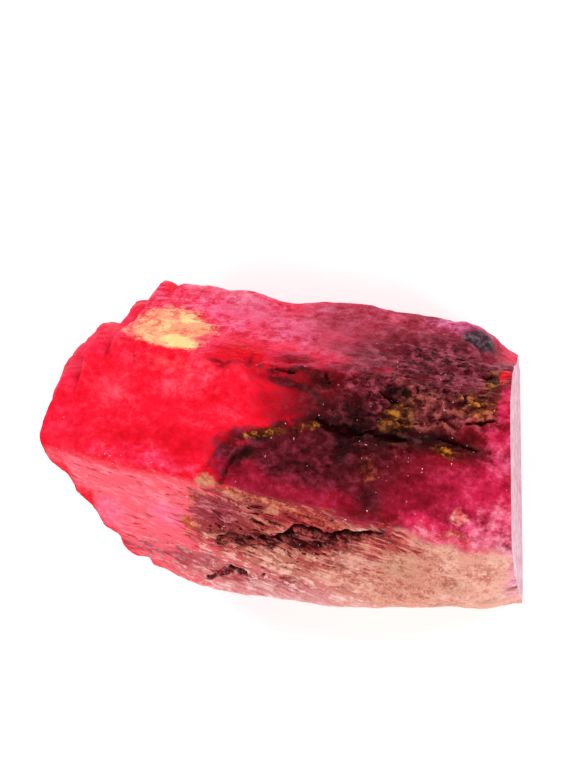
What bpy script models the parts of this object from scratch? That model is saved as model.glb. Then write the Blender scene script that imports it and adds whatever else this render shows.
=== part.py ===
"""A raw ruby crystal: a stubby six-sided barrel, sawn flat at one end and broken to a blunt tip at the other.

The stone lies on a flat parting face. +X is the outward normal of the sawn end, +Z is up, and the
origin is the middle of the stone's box, on the surface it rests on.
Lengths are millimetres until the mesh is written, and angles are degrees.
"""

import itertools
import math
from collections import namedtuple

import bmesh
import bpy
import numpy as np

MM = 0.001

# Driving dimensions
THICKNESS = 24.5
SAWN_END = 23.06
AXIS_TURN = -12.0  # the crystal's long axis, clockwise from +X seen from above
CORE_LEFT = (-11.0, 2.0, THICKNESS / 2)
CORE_RIGHT = (12.5, -2.6, THICKNESS / 2)
CUT_SPARE = 2.0  # how far the rough stone runs past its two flat cuts before they are made
WELD = 1e-5  # corners this near to a cut count as on it

# Mesh
GRID = 0.42
BLOCK = 120.0
FACET_RATIO = 0.16
EDGE_WEAR = 0.28

# One face of the stone: compass direction of its outward normal (0 is +X, 90 is +Y), the lean of that
# normal above the horizontal, its distance from the middle of the stone, the depth of the plates
# that lie along the crystal, and the share of stair steps across a broken face
Face = namedtuple("Face", "compass lean distance plates stairs")
FACES = {
    "top": Face(0, 90, THICKNESS / 2, 0.12, 0.0),
    "back_upper": Face(79.3, 30, 11.40, 0.55, 0.0),
    "back_lower": Face(83.4, -26, 15.05, 0.7, 0.0),
    "back_right": Face(72.2, 8, 16.20, 0.6, 0.0),
    "back_corner": Face(38.6, 10, 22.40, 0.5, 0.0),
    "front_upper": Face(257.2, 34, 11.85, 0.45, 0.0),
    "front_lower": Face(259.7, -30, 15.95, 0.6, 0.0),
    "front_right": Face(270.5, 4, 17.05, 0.4, 0.0),
    "front_corner": Face(286.1, 8, 20.80, 0.4, 0.0),
    "tip_back": Face(125.9, 10, 21.30, 0.15, 1.0),
    "tip_back_upper": Face(135.6, 20, 21.60, 0.15, 1.0),
    "tip_back_lower": Face(131.5, -30, 20.70, 0.3, 0.7),
    "tip": Face(170.2, 6, 23.95, 0.3, 0.0),
    "tip_front": Face(207.4, -4, 20.95, 0.3, 0.5),
    "tip_front_lower": Face(198.2, -14, 19.50, 0.3, 0.3),
}

# Plates, stairs and swell, shared by all faces
PLATE_SIZE = (7.0, 1.7, 1.7)
PLATE_EDGE = 14.0
STAIR_TREAD = 2.5
STAIR_WANDER = 0.12
STAIR_START = 0.9
STAIR_RISER = 0.36  # share of each step that the riser takes
SWELL_SIZE = 8.0
SWELL_DEPTH = 0.22
WAVE = 4.0  # how long the waves are in the edges of plates and stairs
PLATE_WANDER = 0.3
PLATE_LEVEL = 0.35  # the level of plate that lies in a face's plane

# A ray from the core reaches a face only if it heads for it, by more than FACING, and counts it
# only up to FARTHEST away
FACING = 0.02
FARTHEST = 60

# Rough patches, where plates stand further out of the face: centre, radii, added depth
Patch = namedtuple("Patch", "centre radii depth")
ROUGH_PATCHES = (
    Patch((14.0, 1.5, 24.5), (10.0, 4.5, 3.0), 0.75),
    Patch((15.0, 9.0, 16.0), (9.0, 5.0, 7.0), 0.45),
    Patch((-2.0, -9.0, 19.0), (9.0, 4.0, 5.0), 0.35),
)

# Soft hollows: centre, radii, depth
HOLLOWS = (
    Patch((-0.8, 14.5, 9.0), (3.2, 3.0, 6.0), 0.7),
    Patch((21.5, 9.2, 12.0), (2.0, 2.4, 9.0), 1.3),
    Patch((12.0, 3.1, 24.5), (1.9, 0.9, 1.5), 0.9),
    Patch((6.2, 4.8, 24.5), (2.0, 0.9, 1.5), 0.8),
    Patch((-1.8, 6.6, 24.5), (1.0, 0.7, 1.5), 0.7),
    Patch((-4.6, 6.3, 24.5), (0.9, 0.7, 1.5), 0.6),
    Patch((19.0, -1.4, 24.5), (3.0, 0.8, 1.5), 0.8),
    Patch((-3.3, -3.7, 24.5), (1.2, 1.0, 1.5), 0.6),
    Patch((16.5, -16.0, 9.0), (1.6, 1.6, 4.0), 0.5),
    Patch((-17.6, 14.2, 12.0), (1.5, 1.5, 7.0), 0.7),
    Patch((-14.6, -13.6, 9.0), (2.6, 2.2, 5.0), 0.8),
    Patch((21.9, 8.6, 11.0), (1.3, 1.6, 8.0), 0.5),
)

# Open cracks in the upward faces: route seen from above, half width, depth
Crack = namedtuple("Crack", "route half_width depth")
CRACK_RAGGED = 0.45
LONG_CRACK = (
    (-5.8, -9.9), (-2.3, -9.3), (-0.3, -10.3), (1.7, -9.3), (4.4, -10.3), (6.3, -10.6), (10.9, -10.0),
)
CRACKS = (
    Crack(LONG_CRACK, 0.6, 1.1),
    Crack(((-8.1, -13.8), (-6.4, -13.3), (-4.3, -13.5), (-1.9, -14.0)), 0.5, 0.8),
    Crack(((4.1, -15.3), (7.8, -16.0)), 0.5, 0.7),
    Crack(((4.4, 0.6), (7.4, 0.0), (10.6, -0.7)), 0.55, 1.0),
)

RUBY_RED = (0.46, 0.03, 0.09, 1.0)
RUBY_ROUGHNESS = 0.42


def outward(face):
    """The outward normal of a face."""
    compass = math.radians(face.compass)
    lean = math.radians(face.lean)
    return np.array([math.cos(lean) * math.cos(compass), math.cos(lean) * math.sin(compass), math.sin(lean)])


def middle():
    """The point that the faces' distances are measured from."""
    return np.array([0.0, 0.0, THICKNESS / 2])


def cell_random(cell, seed):
    """A steady random number from 0 to 1 for each whole-numbered cell of space."""
    key = cell[:, 0] * 374761393 + cell[:, 1] * 668265263 + cell[:, 2] * 2147483647 + seed * 1274126177
    key = key & 0xFFFFFFFF
    key = ((key ^ (key >> 13)) * 1274126177) & 0xFFFFFFFF
    return (key ^ (key >> 16)) / 0xFFFFFFFF


def smooth_noise(points, seed):
    """Noise from -1 to 1 that rises and falls about once in each unit of length."""
    cell = np.floor(points).astype(np.int64)
    blend = points - cell
    blend = blend * blend * (3 - 2 * blend)
    total = np.zeros(len(points))
    for corner in itertools.product((0, 1), repeat=3):
        weight = np.prod(np.where(corner, blend, 1 - blend), axis=1)
        total += weight * cell_random(cell + corner, seed)
    return total * 2 - 1


def plate_levels(points, seed):
    """A level from 0 to 1 for each point, nearly even over each random cell, with short ramps between."""
    cell = np.floor(points).astype(np.int64)
    weights = np.zeros(len(points))
    levels = np.zeros(len(points))
    for offset in itertools.product((-1, 0, 1), repeat=3):
        near = cell + offset
        centre = near + np.stack([cell_random(near, seed + part) for part in range(3)], axis=1)
        weight = np.exp(-PLATE_EDGE * np.linalg.norm(points - centre, axis=1))
        weights += weight
        levels += weight * cell_random(near, seed + 3)
    return levels / weights


def along_crystal(points):
    """Coordinates along the crystal's long axis, across it and up."""
    turn = math.radians(AXIS_TURN)
    along = points[:, 0] * math.cos(turn) + points[:, 1] * math.sin(turn)
    across = points[:, 1] * math.cos(turn) - points[:, 0] * math.sin(turn)
    return np.stack([along, across, points[:, 2]], axis=1)


def nearness(points, patch):
    """1 at the middle of a patch, falling smoothly to 0 outside it."""
    offset = (points - patch.centre) / patch.radii
    return np.exp(-np.sum(offset * offset, axis=1))


def distance_to_route(points, route):
    """How far each point is from a route of straight stretches, seen from above."""
    nearest = np.full(len(points), np.inf)
    for start, end in zip(route, route[1:]):
        start, run = np.array(start), np.subtract(end, start)
        share = np.clip((points[:, :2] - start) @ run / (run @ run), 0, 1)
        gap = np.linalg.norm(points[:, :2] - start - share[:, None] * run, axis=1)
        nearest = np.minimum(nearest, gap)
    return nearest


def shared_relief(points):
    """Depth of the hollows and cracks, which cut any face they cross."""
    relief = sum(hollow.depth * nearness(points, hollow) for hollow in HOLLOWS)
    upward = points[:, 2] > THICKNESS / 3
    ragged = smooth_noise(points / 1.6, 53)
    for crack in CRACKS:
        width = crack.half_width * (1 + CRACK_RAGGED * ragged)
        opening = np.clip(1.2 - distance_to_route(points, crack.route) / width, 0, 1)
        relief = relief + upward * crack.depth * opening
    return relief


def stair_relief(face, crystal):
    """Depth below a broken face of stairs whose treads lie along the crystal and whose risers cross it."""
    normal = along_crystal(outward(face)[None])[0]
    climb = (crystal[:, 0] - STAIR_START) / STAIR_TREAD + STAIR_WANDER * smooth_noise(crystal / WAVE, 41)
    share = climb - np.floor(climb)
    step = np.minimum(share / (1 - STAIR_RISER), (1 - share) / STAIR_RISER)
    return face.stairs * abs(normal[0]) * STAIR_TREAD * step


def face_relief(face, points, crystal, levels, patches):
    """Depth of a face's own texture below its flat plane."""
    swell = SWELL_DEPTH * smooth_noise(points / SWELL_SIZE, 11)
    plates = (face.plates + patches) * (levels - PLATE_LEVEL)
    return swell + plates + stair_relief(face, crystal)


def core_points(points):
    """The nearest point of the stone's core line to each point."""
    start, run = np.array(CORE_LEFT), np.subtract(CORE_RIGHT, CORE_LEFT)
    share = np.clip((points - start) @ run / (run @ run), 0, 1)
    return start + share[:, None] * run


def face_closeness(facing, gap):
    """How near a face is along each ray, from how squarely the ray meets it and how far off it lies."""
    reach = gap / np.maximum(facing, 1e-6)
    return np.where(facing > FACING, np.exp(-np.clip(reach, 0, FARTHEST) / EDGE_WEAR), 0)


def weathered(points):
    """Moves points of the cut block, along rays from the core line, to the stone's rough surface."""
    core = core_points(points)
    rays = points - core
    rays /= np.linalg.norm(rays, axis=1)[:, None]
    crystal = along_crystal(points)
    wander = PLATE_WANDER * smooth_noise(crystal / WAVE, 23)
    levels = plate_levels(crystal / PLATE_SIZE + wander[:, None], 31)
    patches = sum(patch.depth * nearness(points, patch) for patch in ROUGH_PATCHES)
    shared = shared_relief(points)
    closeness = np.zeros(len(points))
    for face in FACES.values():
        normal = outward(face)
        depth = face_relief(face, points, crystal, levels, patches) + shared
        closeness += face_closeness(rays @ normal, face.distance - depth - (core - middle()) @ normal)
    for normal, distance in flat_cuts():
        closeness += face_closeness(rays @ normal, distance + CUT_SPARE - core @ normal)
    return core + rays * (-EDGE_WEAR * np.log(closeness))[:, None]


def flat_cuts():
    """The normals and places of the two truly flat faces: the base and the sawn end."""
    return ((np.array([0.0, 0.0, -1.0]), 0.0), (np.array([1.0, 0.0, 0.0]), SAWN_END))


def trim(bm, point, normal):
    """Cuts away what lies outside a plane, and closes the cut with one flat face."""
    geometry = bm.verts[:] + bm.edges[:] + bm.faces[:]
    plane = {"plane_co": point, "plane_no": normal}
    cut = bmesh.ops.bisect_plane(bm, geom=geometry, dist=WELD, clear_outer=True, **plane)
    rim = [part for part in cut["geom_cut"] if isinstance(part, bmesh.types.BMEdge)]
    if rim:
        bmesh.ops.edgeloop_fill(bm, edges=rim)


def cut_block():
    """A block cut back to all the stone's faces, which the grid is laid over."""
    bm = bmesh.new()
    bmesh.ops.create_cube(bm, size=BLOCK)
    for face in FACES.values():
        normal = outward(face)
        trim(bm, middle() + normal * face.distance, normal)
    for normal, distance in flat_cuts():
        trim(bm, normal * (distance + CUT_SPARE), normal)
    mesh = bpy.data.meshes.new("cut_block")
    bm.to_mesh(mesh)
    bm.free()
    return mesh


def even_grid(mesh):
    """The same form as a fine, even mesh."""
    guide = bpy.data.objects.new("even_grid", mesh)
    bpy.context.scene.collection.objects.link(guide)
    remesh = guide.modifiers.new("even_grid", "REMESH")
    remesh.mode = "VOXEL"
    remesh.voxel_size = GRID
    depsgraph = bpy.context.evaluated_depsgraph_get()
    gridded = bpy.data.meshes.new_from_object(guide.evaluated_get(depsgraph))
    bpy.data.objects.remove(guide)
    return gridded


def rough_stone():
    """The stone's mesh in metres, with its rough faces and its two flat cuts."""
    mesh = even_grid(cut_block())
    points = np.empty(len(mesh.vertices) * 3)
    mesh.vertices.foreach_get("co", points)
    points = weathered(points.reshape(-1, 3))
    mesh.vertices.foreach_set("co", points.ravel())
    bm = bmesh.new()
    bm.from_mesh(mesh)
    for normal, distance in flat_cuts():
        trim(bm, normal * distance, normal)
    bmesh.ops.scale(bm, vec=(MM, MM, MM), verts=bm.verts)
    bmesh.ops.triangulate(bm, faces=bm.faces)
    bm.to_mesh(mesh)
    bm.free()
    mesh.name = "ruby_crystal"
    return mesh


def ruby_material():
    """Deep pinkish red, half glossy stone."""
    material = bpy.data.materials.new("ruby")
    material.use_nodes = True
    shader = material.node_tree.nodes["Principled BSDF"]
    shader.inputs["Base Color"].default_value = RUBY_RED
    shader.inputs["Roughness"].default_value = RUBY_ROUGHNESS
    shader.inputs["Metallic"].default_value = 0.0
    return material


def main():
    """Clears the scene and makes the stone."""
    for thing in list(bpy.data.objects):
        bpy.data.objects.remove(thing)
    mesh = rough_stone()
    mesh.materials.append(ruby_material())
    stone = bpy.data.objects.new("ruby_crystal", mesh)
    bpy.context.scene.collection.objects.link(stone)
    facets = stone.modifiers.new("facets", "DECIMATE")
    facets.ratio = FACET_RATIO


main()
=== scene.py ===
"""A raw ruby crystal, finished: broken and striated faces, stained skin, mica and rust.

It lies on a plain studio stage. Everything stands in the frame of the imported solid: metres, +X out of the
sawn end, +Z up, the origin under the middle of the stone. Lengths named here are millimetres unless a
unit is given, and angles are degrees.
"""

import itertools
import math
from collections import namedtuple

import bmesh
import bpy
import numpy as np
from mathutils import Matrix, Vector


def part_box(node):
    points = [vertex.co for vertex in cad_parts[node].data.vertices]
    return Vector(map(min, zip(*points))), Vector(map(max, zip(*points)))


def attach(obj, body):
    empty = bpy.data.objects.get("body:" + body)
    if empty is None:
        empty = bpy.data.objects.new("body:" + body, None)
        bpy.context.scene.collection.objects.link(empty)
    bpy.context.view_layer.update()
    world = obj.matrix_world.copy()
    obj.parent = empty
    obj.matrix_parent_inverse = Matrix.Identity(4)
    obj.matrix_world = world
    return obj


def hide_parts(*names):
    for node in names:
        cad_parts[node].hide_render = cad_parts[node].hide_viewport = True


bl_info = {
    "name": "Raw ruby crystal",
    "version": (1, 0, 0),
    "blender": (4, 5, 0),
    "location": "View3D > Sidebar > Ruby",
    "description": "Builds a raw ruby crystal with its stains, mica and rust, and a stage for it",
    "category": "Add Mesh",
}

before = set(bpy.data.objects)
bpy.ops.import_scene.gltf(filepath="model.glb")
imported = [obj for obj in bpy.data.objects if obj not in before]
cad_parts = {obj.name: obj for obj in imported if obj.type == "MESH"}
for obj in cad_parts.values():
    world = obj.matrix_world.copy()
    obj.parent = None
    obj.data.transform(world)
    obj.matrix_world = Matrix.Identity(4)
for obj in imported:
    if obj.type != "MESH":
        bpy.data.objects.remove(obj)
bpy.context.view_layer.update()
STONE_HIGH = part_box("ruby_crystal")[1]

MM = 0.001

# ---------------------------------------------------------------- form of the stone
SAWN_END = STONE_HIGH.x / MM
THICKNESS = 24.5
AXIS_TURN = -12.0  # the crystal's long axis, clockwise from +X seen from above
CORE_LEFT = (-11.0, 2.0, THICKNESS / 2)
CORE_RIGHT = (12.5, -2.6, THICKNESS / 2)
CUT_SPARE = 2.0  # how far the rough stone runs past its two flat cuts before they are made
BLOCK = 120.0
HOLLOW_ROUNDS = 6
GRID = 0.38
EDGE_WEAR = 0.25
WELD = 1e-5  # corners this near to a cut count as on it
SHARP_RIDGE = 55.0
# Faces of the grid that lean up more than REFINED_LEAN and lie above REFINED_HEIGHT have finer cells
REFINED_LEAN = 0.04
REFINED_HEIGHT = 11.5
SIDE_REACH = 6.0  # how far from a ridge the skin still knows which side it is on
# A ray from the core reaches a face only if it heads for it, by more than FACING, and counts it
# only up to FARTHEST away
FACING = 0.02
FARTHEST = 60.0

# One face of the stone: the side it belongs to, compass direction of its outward normal (0 is +X,
# 90 is +Y), the lean of that normal above the horizontal, its distance from the middle of the stone,
# the depth of the plates that lie along the crystal, and the share of stair steps across a broken face
Face = namedtuple("Face", "side compass lean distance plates stairs")
FACES = (
    Face("top", 0, 90, THICKNESS / 2, 0.12, 0.0),
    Face("back", 79.3, 30, 11.40, 0.55, 0.0),
    Face("back", 83.4, -26, 15.05, 0.7, 0.0),
    Face("back", 72.2, 8, 16.20, 0.6, 0.0),
    Face("back", 38.6, 10, 22.40, 0.5, 0.0),
    Face("front", 257.2, 34, 11.85, 0.45, 0.0),
    Face("front", 259.7, -30, 15.95, 0.6, 0.0),
    Face("front", 270.5, 4, 17.05, 0.4, 0.0),
    Face("front", 286.1, 8, 20.80, 0.4, 0.0),
    Face("tip", 125.9, 10, 21.30, 0.15, 1.0),
    Face("tip", 135.6, 20, 21.60, 0.15, 1.0),
    Face("tip", 131.5, -30, 20.70, 0.3, 0.7),
    Face("tip", 170.2, 6, 23.95, 0.3, 0.0),
    Face("tip", 207.4, -4, 20.95, 0.3, 0.5),
    Face("tip", 198.2, -14, 19.50, 0.3, 0.3),
)
SIDES = ("front", "back", "tip")

STRATA_DROP = 16.0  # how steeply the thin layers run down the front flank, to the right

# Primes that scatter a cell's whole numbers and a seed over the bits of one random number
CELL_PRIMES = (374761393, 668265263, 2147483647)
SEED_PRIME = 1274126177
BITS = 0xFFFFFFFF

# A smooth noise: the height and the size of its waves, and the seed of its random numbers
Wave = namedtuple("Wave", "height size seed")
PLATE_SIZE = (7.0, 1.7, 1.7)
PLATE_EDGE = 5.0
PLATE_SEED = 31
PLATE_LEVEL = 0.35  # the level of plate that lies in a face's plane
PLATE_WANDER = (Wave(0.3, 4.0, 23), Wave(0.12, 1.1, 24))
STAIR_TREAD = 2.5
STAIR_START = 0.9
STAIR_RISER = 0.36
STAIR_WANDER = (Wave(0.12, 4.0, 41),)
STAIR_FADE = (Wave(0.15, 3.0, 43),)
SWELL = (Wave(0.22, 8.0, 11),)

# Patches of the skin: centre, radii, depth
Patch = namedtuple("Patch", "centre radii depth")
ROUGH_PATCHES = (
    Patch((14.0, 1.5, 24.5), (10.0, 4.5, 3.0), 0.75),
    Patch((15.0, 9.0, 16.0), (9.0, 5.0, 7.0), 0.45),
    Patch((-2.0, -9.0, 19.0), (9.0, 4.0, 5.0), 0.35),
)
HOLLOWS = (
    Patch((-0.8, 14.5, 9.0), (3.2, 3.0, 6.0), 0.7),
    Patch((21.5, 9.2, 12.0), (2.0, 2.4, 9.0), 1.3),
    Patch((12.0, 3.1, 24.5), (1.9, 0.9, 1.5), 0.9),
    Patch((6.2, 4.8, 24.5), (2.0, 0.9, 1.5), 0.8),
    Patch((-1.8, 6.6, 24.5), (1.0, 0.7, 1.5), 0.7),
    Patch((-4.6, 6.3, 24.5), (0.9, 0.7, 1.5), 0.6),
    Patch((19.0, -1.4, 24.5), (3.0, 0.8, 1.5), 0.8),
    Patch((-3.3, -3.7, 24.5), (1.2, 1.0, 1.5), 0.6),
    Patch((16.5, -16.0, 9.0), (1.6, 1.6, 4.0), 0.5),
    Patch((-17.6, 14.2, 12.0), (1.5, 1.5, 7.0), 0.7),
    Patch((-14.6, -13.6, 9.0), (2.6, 2.2, 5.0), 0.8),
    Patch((21.9, 8.6, 11.0), (1.3, 1.6, 8.0), 0.5),
    Patch((18.2, -8.9, 24.5), (0.8, 0.7, 1.5), -0.3),
    Patch((20.0, -9.9, 24.5), (0.9, 0.9, 1.5), -0.25),
    Patch((22.0, -10.4, 24.5), (0.7, 1.1, 1.5), -0.3),
    Patch((14.9, -9.8, 24.5), (1.1, 0.6, 1.5), -0.25),
    Patch((-16.4, 12.6, 17.6), (2.2, 2.2, 6.0), 1.3),
)

# Open cracks in the upward faces: route seen from above, half width, depth
Crack = namedtuple("Crack", "route half_width depth")
CRACK_BENDS = (Wave(0.3, 2.2, 54), Wave(0.3, 0.8, 57))  # each takes a crack off its route
# The width varies along a crack about CRACK_MEAN of its half width, never falls under CRACK_NARROWEST of
# it, and tapers over the last CRACK_TAPER to each end
CRACK_MEAN = 0.75
CRACK_RAGGED = (Wave(0.6, 1.3, 53), Wave(0.5, 0.5, 52))
CRACK_NARROWEST = 0.05
CRACK_TAPER = 1.3
CRACK_TAPER_POWER = 0.7
CRACK_FLOOR = 1.1  # above 1, it makes the floor of a crack flat
CRACKS = (
    Crack(((-6.4, -10.4), (-5.3, -10.1), (-3.9, -10.4), (-2.2, -10.3), (-1.0, -10.7)), 0.34, 0.7),
    Crack(
        ((-0.8, -10.6), (0.6, -10.3), (2.3, -9.7), (4.1, -10.0), (5.6, -10.3), (8.0, -10.1), (10.8, -9.9)),
        0.36, 0.8,
    ),
    Crack(((1.1, -10.8), (2.5, -11.1), (3.9, -11.3), (5.2, -11.0)), 0.26, 0.45),
    Crack(((-8.8, -14.0), (-7.3, -13.6), (-5.6, -13.3), (-4.3, -13.6)), 0.28, 0.6),
    Crack(((-3.6, -14.0), (-1.7, -14.0)), 0.22, 0.45),
    Crack(((4.1, -15.3), (7.8, -16.0)), 0.3, 0.6),
    Crack(
        ((4.6, 0.6), (6.0, 0.0), (7.3, -0.1), (8.6, -0.7), (9.9, -0.8), (11.4, -1.2), (13.2, -1.2)),
        0.6, 0.9,
    ),
    Crack(((10.4, 3.8), (11.5, 3.4), (12.9, 2.7)), 0.45, 0.8),
    Crack(((18.3, 0.1), (20.2, 0.5), (22.1, 0.5)), 0.26, 0.6),
    Crack(((16.2, -1.1), (17.8, -1.5), (20.4, -2.3)), 0.4, 0.7),
    Crack(((20.0, 5.6), (22.1, 5.2)), 0.3, 0.6),
    Crack(((5.3, 5.6), (5.9, 4.6)), 0.4, 0.4),
    Crack(((0.1, 6.0), (0.9, 5.6), (1.8, 5.5), (2.8, 5.2)), 0.34, 0.6),
    Crack(((-4.5, -5.0), (-4.0, -3.8), (-3.3, -2.9), (-2.2, -2.4)), 0.34, 0.3),
)

# Fragments that only the finished skin has: the frame they lie in, size of one along each of its axes,
# its depth, the tilt of its face, the seed of their random numbers, and where they are strongest
Fragments = namedtuple("Fragments", "frame size depth tilt seed patches")
CRUMBLED = (
    Patch((14.0, 1.0, 24.5), (9.5, 4.5, 4.0), 1.0),
    Patch((7.0, -2.6, 24.5), (6.0, 3.2, 4.0), 0.45),
    Patch((16.0, 8.0, 17.0), (9.0, 6.0, 9.0), 0.5),
    Patch((1.0, 6.5, 24.0), (7.0, 1.4, 2.5), 0.5),
    Patch((15.0, -13.0, 14.0), (9.0, 5.0, 10.0), 0.3),
    Patch((-21.0, 5.0, 10.0), (6.0, 13.0, 12.0), 0.15),
)
LAMINATED = (
    Patch((-0.5, -9.6, 18.5), (8.5, 4.6, 5.5), 1.0),
    Patch((-4.0, -14.0, 12.0), (10.0, 3.5, 6.0), 0.7),
    Patch((-14.0, -9.0, 14.0), (9.0, 6.0, 9.0), 0.15),
)
EVERYWHERE = (Patch((0.0, 0.0, 12.0), (200.0, 200.0, 200.0), 1.0),)
# Crumbs, chips between them, thin split layers, and faint flat scales all over
FRAGMENTS = (
    Fragments("crystal", (1.5, 0.85, 0.85), 0.55, 0.6, 81, CRUMBLED),
    Fragments("crystal", (0.7, 0.5, 0.5), 0.3, 0.6, 92, CRUMBLED),
    Fragments("strata", (2.8, 1.4, 0.5), 0.42, 0.3, 103, LAMINATED),
    Fragments("crystal", (1.4, 1.0, 1.0), 0.05, 0.4, 114, EVERYWHERE),
)
FRAGMENT_EDGE = 14.0
FRAGMENT_BEND = Wave(0.4, 1.4, 71)
GRAIN_AND_LUMPS = (Wave(0.04, 0.6, 61), Wave(0.12, 2.2, 62))
STRATA_SIZE = (2.4, 1.2, 0.45)
STRATA_DEPTH = 0.12
STRATA_SEED = 65
STRATA_WANDER = (Wave(0.5, 1.8, 63), Wave(0.25, 0.8, 64))
STRATA_PATCHES = (
    Patch((0.0, -10.0, 18.0), (9.0, 5.0, 8.0), 1.0),
    Patch((-14.0, -9.0, 14.0), (9.0, 6.0, 9.0), 0.4),
    Patch((8.0, 13.0, 15.0), (26.0, 6.0, 12.0), 0.4),
    Patch((15.0, -13.0, 12.0), (9.0, 5.0, 10.0), 0.5),
)

# ---------------------------------------------------------------- colours of the stone
LIGHT_LEVEL = 1.45  # how bright a white surface looks under the stage's lights


def srgb(red, green, blue):
    """The colour of a surface that looks like these screen values from 0 to 255 under the stage's lights."""
    return tuple(((part / 255 + 0.055) / 1.055) ** 2.4 / LIGHT_LEVEL for part in (red, green, blue))


# The families of the stone's tones, and each tone's dark, middle and light colour as screen values.
# A family follows one colour of the settings, which is the middle of its first tone
TONES = {
    "ruby": {
        "clear red": ((230, 12, 34), (251, 24, 52), (255, 60, 84)),
        "rose glass": ((218, 62, 100), (238, 108, 138), (252, 156, 178)),
        "dark red": ((124, 4, 12), (186, 12, 30), (228, 22, 46)),
        "deep red": ((190, 6, 22), (230, 14, 36), (246, 30, 56)),
        "light red": ((250, 34, 62), (254, 56, 80), (255, 92, 116)),
        "peach_painted_light": ((246, 40, 60), (252, 76, 82), (255, 112, 112)),
        "tip red": ((232, 20, 52), (246, 36, 72), (254, 56, 92)),
        "crimson": ((214, 20, 50), (249, 46, 84), (255, 92, 132)),
        "pink glass": ((228, 52, 96), (244, 92, 134), (254, 132, 166)),
        "glassy pink": ((204, 44, 74), (238, 96, 120), (255, 164, 176)),
        "lump": ((214, 60, 70), (238, 124, 124), (252, 196, 180)),
        "magenta": ((116, 10, 28), (152, 20, 44), (180, 42, 74)),
        "bright magenta": ((180, 18, 50), (214, 36, 80), (236, 74, 118)),
        "wine": ((90, 6, 16), (134, 14, 26), (166, 30, 46)),
        "dark wine": ((52, 8, 14), (92, 20, 28), (130, 40, 62)),
        "dusty rose": ((160, 26, 48), (214, 68, 98), (240, 118, 150)),
        "mauve": ((116, 20, 34), (172, 46, 68), (214, 90, 122)),
        "orchid": ((150, 46, 80), (204, 78, 126), (236, 132, 172)),
        "violet rose": ((240, 76, 112), (252, 112, 148), (255, 146, 176)),
    },
    "crust": {
        "tan": ((182, 100, 86), (222, 148, 128), (242, 180, 156)),
        "pale tan": ((214, 132, 116), (240, 174, 154), (252, 206, 192)),
        "stone beige": ((160, 90, 68), (208, 148, 122), (230, 190, 166)),
        "beige": ((172, 76, 56), (208, 128, 100), (224, 160, 132)),
        "schist": ((66, 4, 6), (166, 64, 60), (218, 132, 116)),
        "schist red": ((70, 6, 12), (158, 38, 44), (204, 88, 82)),
        "schist pale": ((116, 12, 12), (204, 120, 104), (240, 184, 162)),
        "schist mauve": ((92, 12, 20), (160, 56, 68), (204, 108, 118)),
        "pink schist": ((124, 10, 16), (212, 112, 112), (252, 196, 192)),
        "pale pink": ((150, 36, 42), (226, 150, 150), (254, 214, 210)),
        # Dark red schist darkened further by painted shadow under the cracks' ledges
        "dark_schist_and_ledge_shadow": ((26, 4, 6), (82, 16, 18), (150, 66, 52)),
        "coral": ((206, 28, 44), (252, 98, 114), (255, 138, 154)),
        "coral low": ((170, 24, 30), (240, 94, 104), (255, 148, 152)),
        "violet edge": ((206, 84, 120), (236, 142, 172), (250, 200, 216)),
        "clay": ((112, 20, 16), (190, 82, 66), (228, 142, 102)),
    },
    "minerals": {
        "bark": ((42, 8, 14), (112, 32, 44), (170, 72, 90)),
        "bark brown": ((46, 10, 12), (110, 42, 42), (170, 86, 78)),
        "core": ((22, 5, 6), (60, 18, 22), (104, 38, 44)),
        "pit": ((8, 2, 2), (28, 8, 9), (84, 34, 36)),
        "crevice": ((14, 3, 4), (62, 12, 16), (176, 78, 72)),
        "slate": ((26, 18, 24), (62, 42, 50), (116, 92, 102)),
        "olive": ((26, 10, 6), (78, 38, 22), (146, 92, 44)),
    },
    "rust": {
        "ochre": ((30, 11, 5), (104, 48, 20), (224, 138, 34)),
        "rust": ((56, 10, 6), (116, 42, 26), (188, 92, 52)),
        "edge rust": ((120, 14, 8), (196, 74, 44), (232, 142, 70)),
    },
    # Painted light: the yellow patch where light seems to shine out through the stone
    "painted_glow": {
        "painted_glow": ((244, 110, 92), (252, 170, 126), (255, 214, 150)),
        "glow core": ((250, 178, 120), (252, 220, 146), (255, 246, 178)),
    },
    "cut": {
        "sawn": ((206, 150, 166), (226, 176, 192), (246, 218, 226)),
        "underside": ((130, 54, 66), (166, 92, 102), (196, 128, 132)),
    },
}
# The cracks' dark filling together with painted shade in them
CRACK_FILL_AND_SHADE_COLOUR = srgb(20, 4, 6)
# Painted shade laid into the skin's hollows
HOLLOW_SHADE_COLOUR = srgb(76, 8, 14)
VEIN_COLOUR = srgb(196, 12, 34)
MICA_DARK = srgb(250, 140, 164)
MICA_LIGHT = srgb(255, 226, 232)

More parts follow.
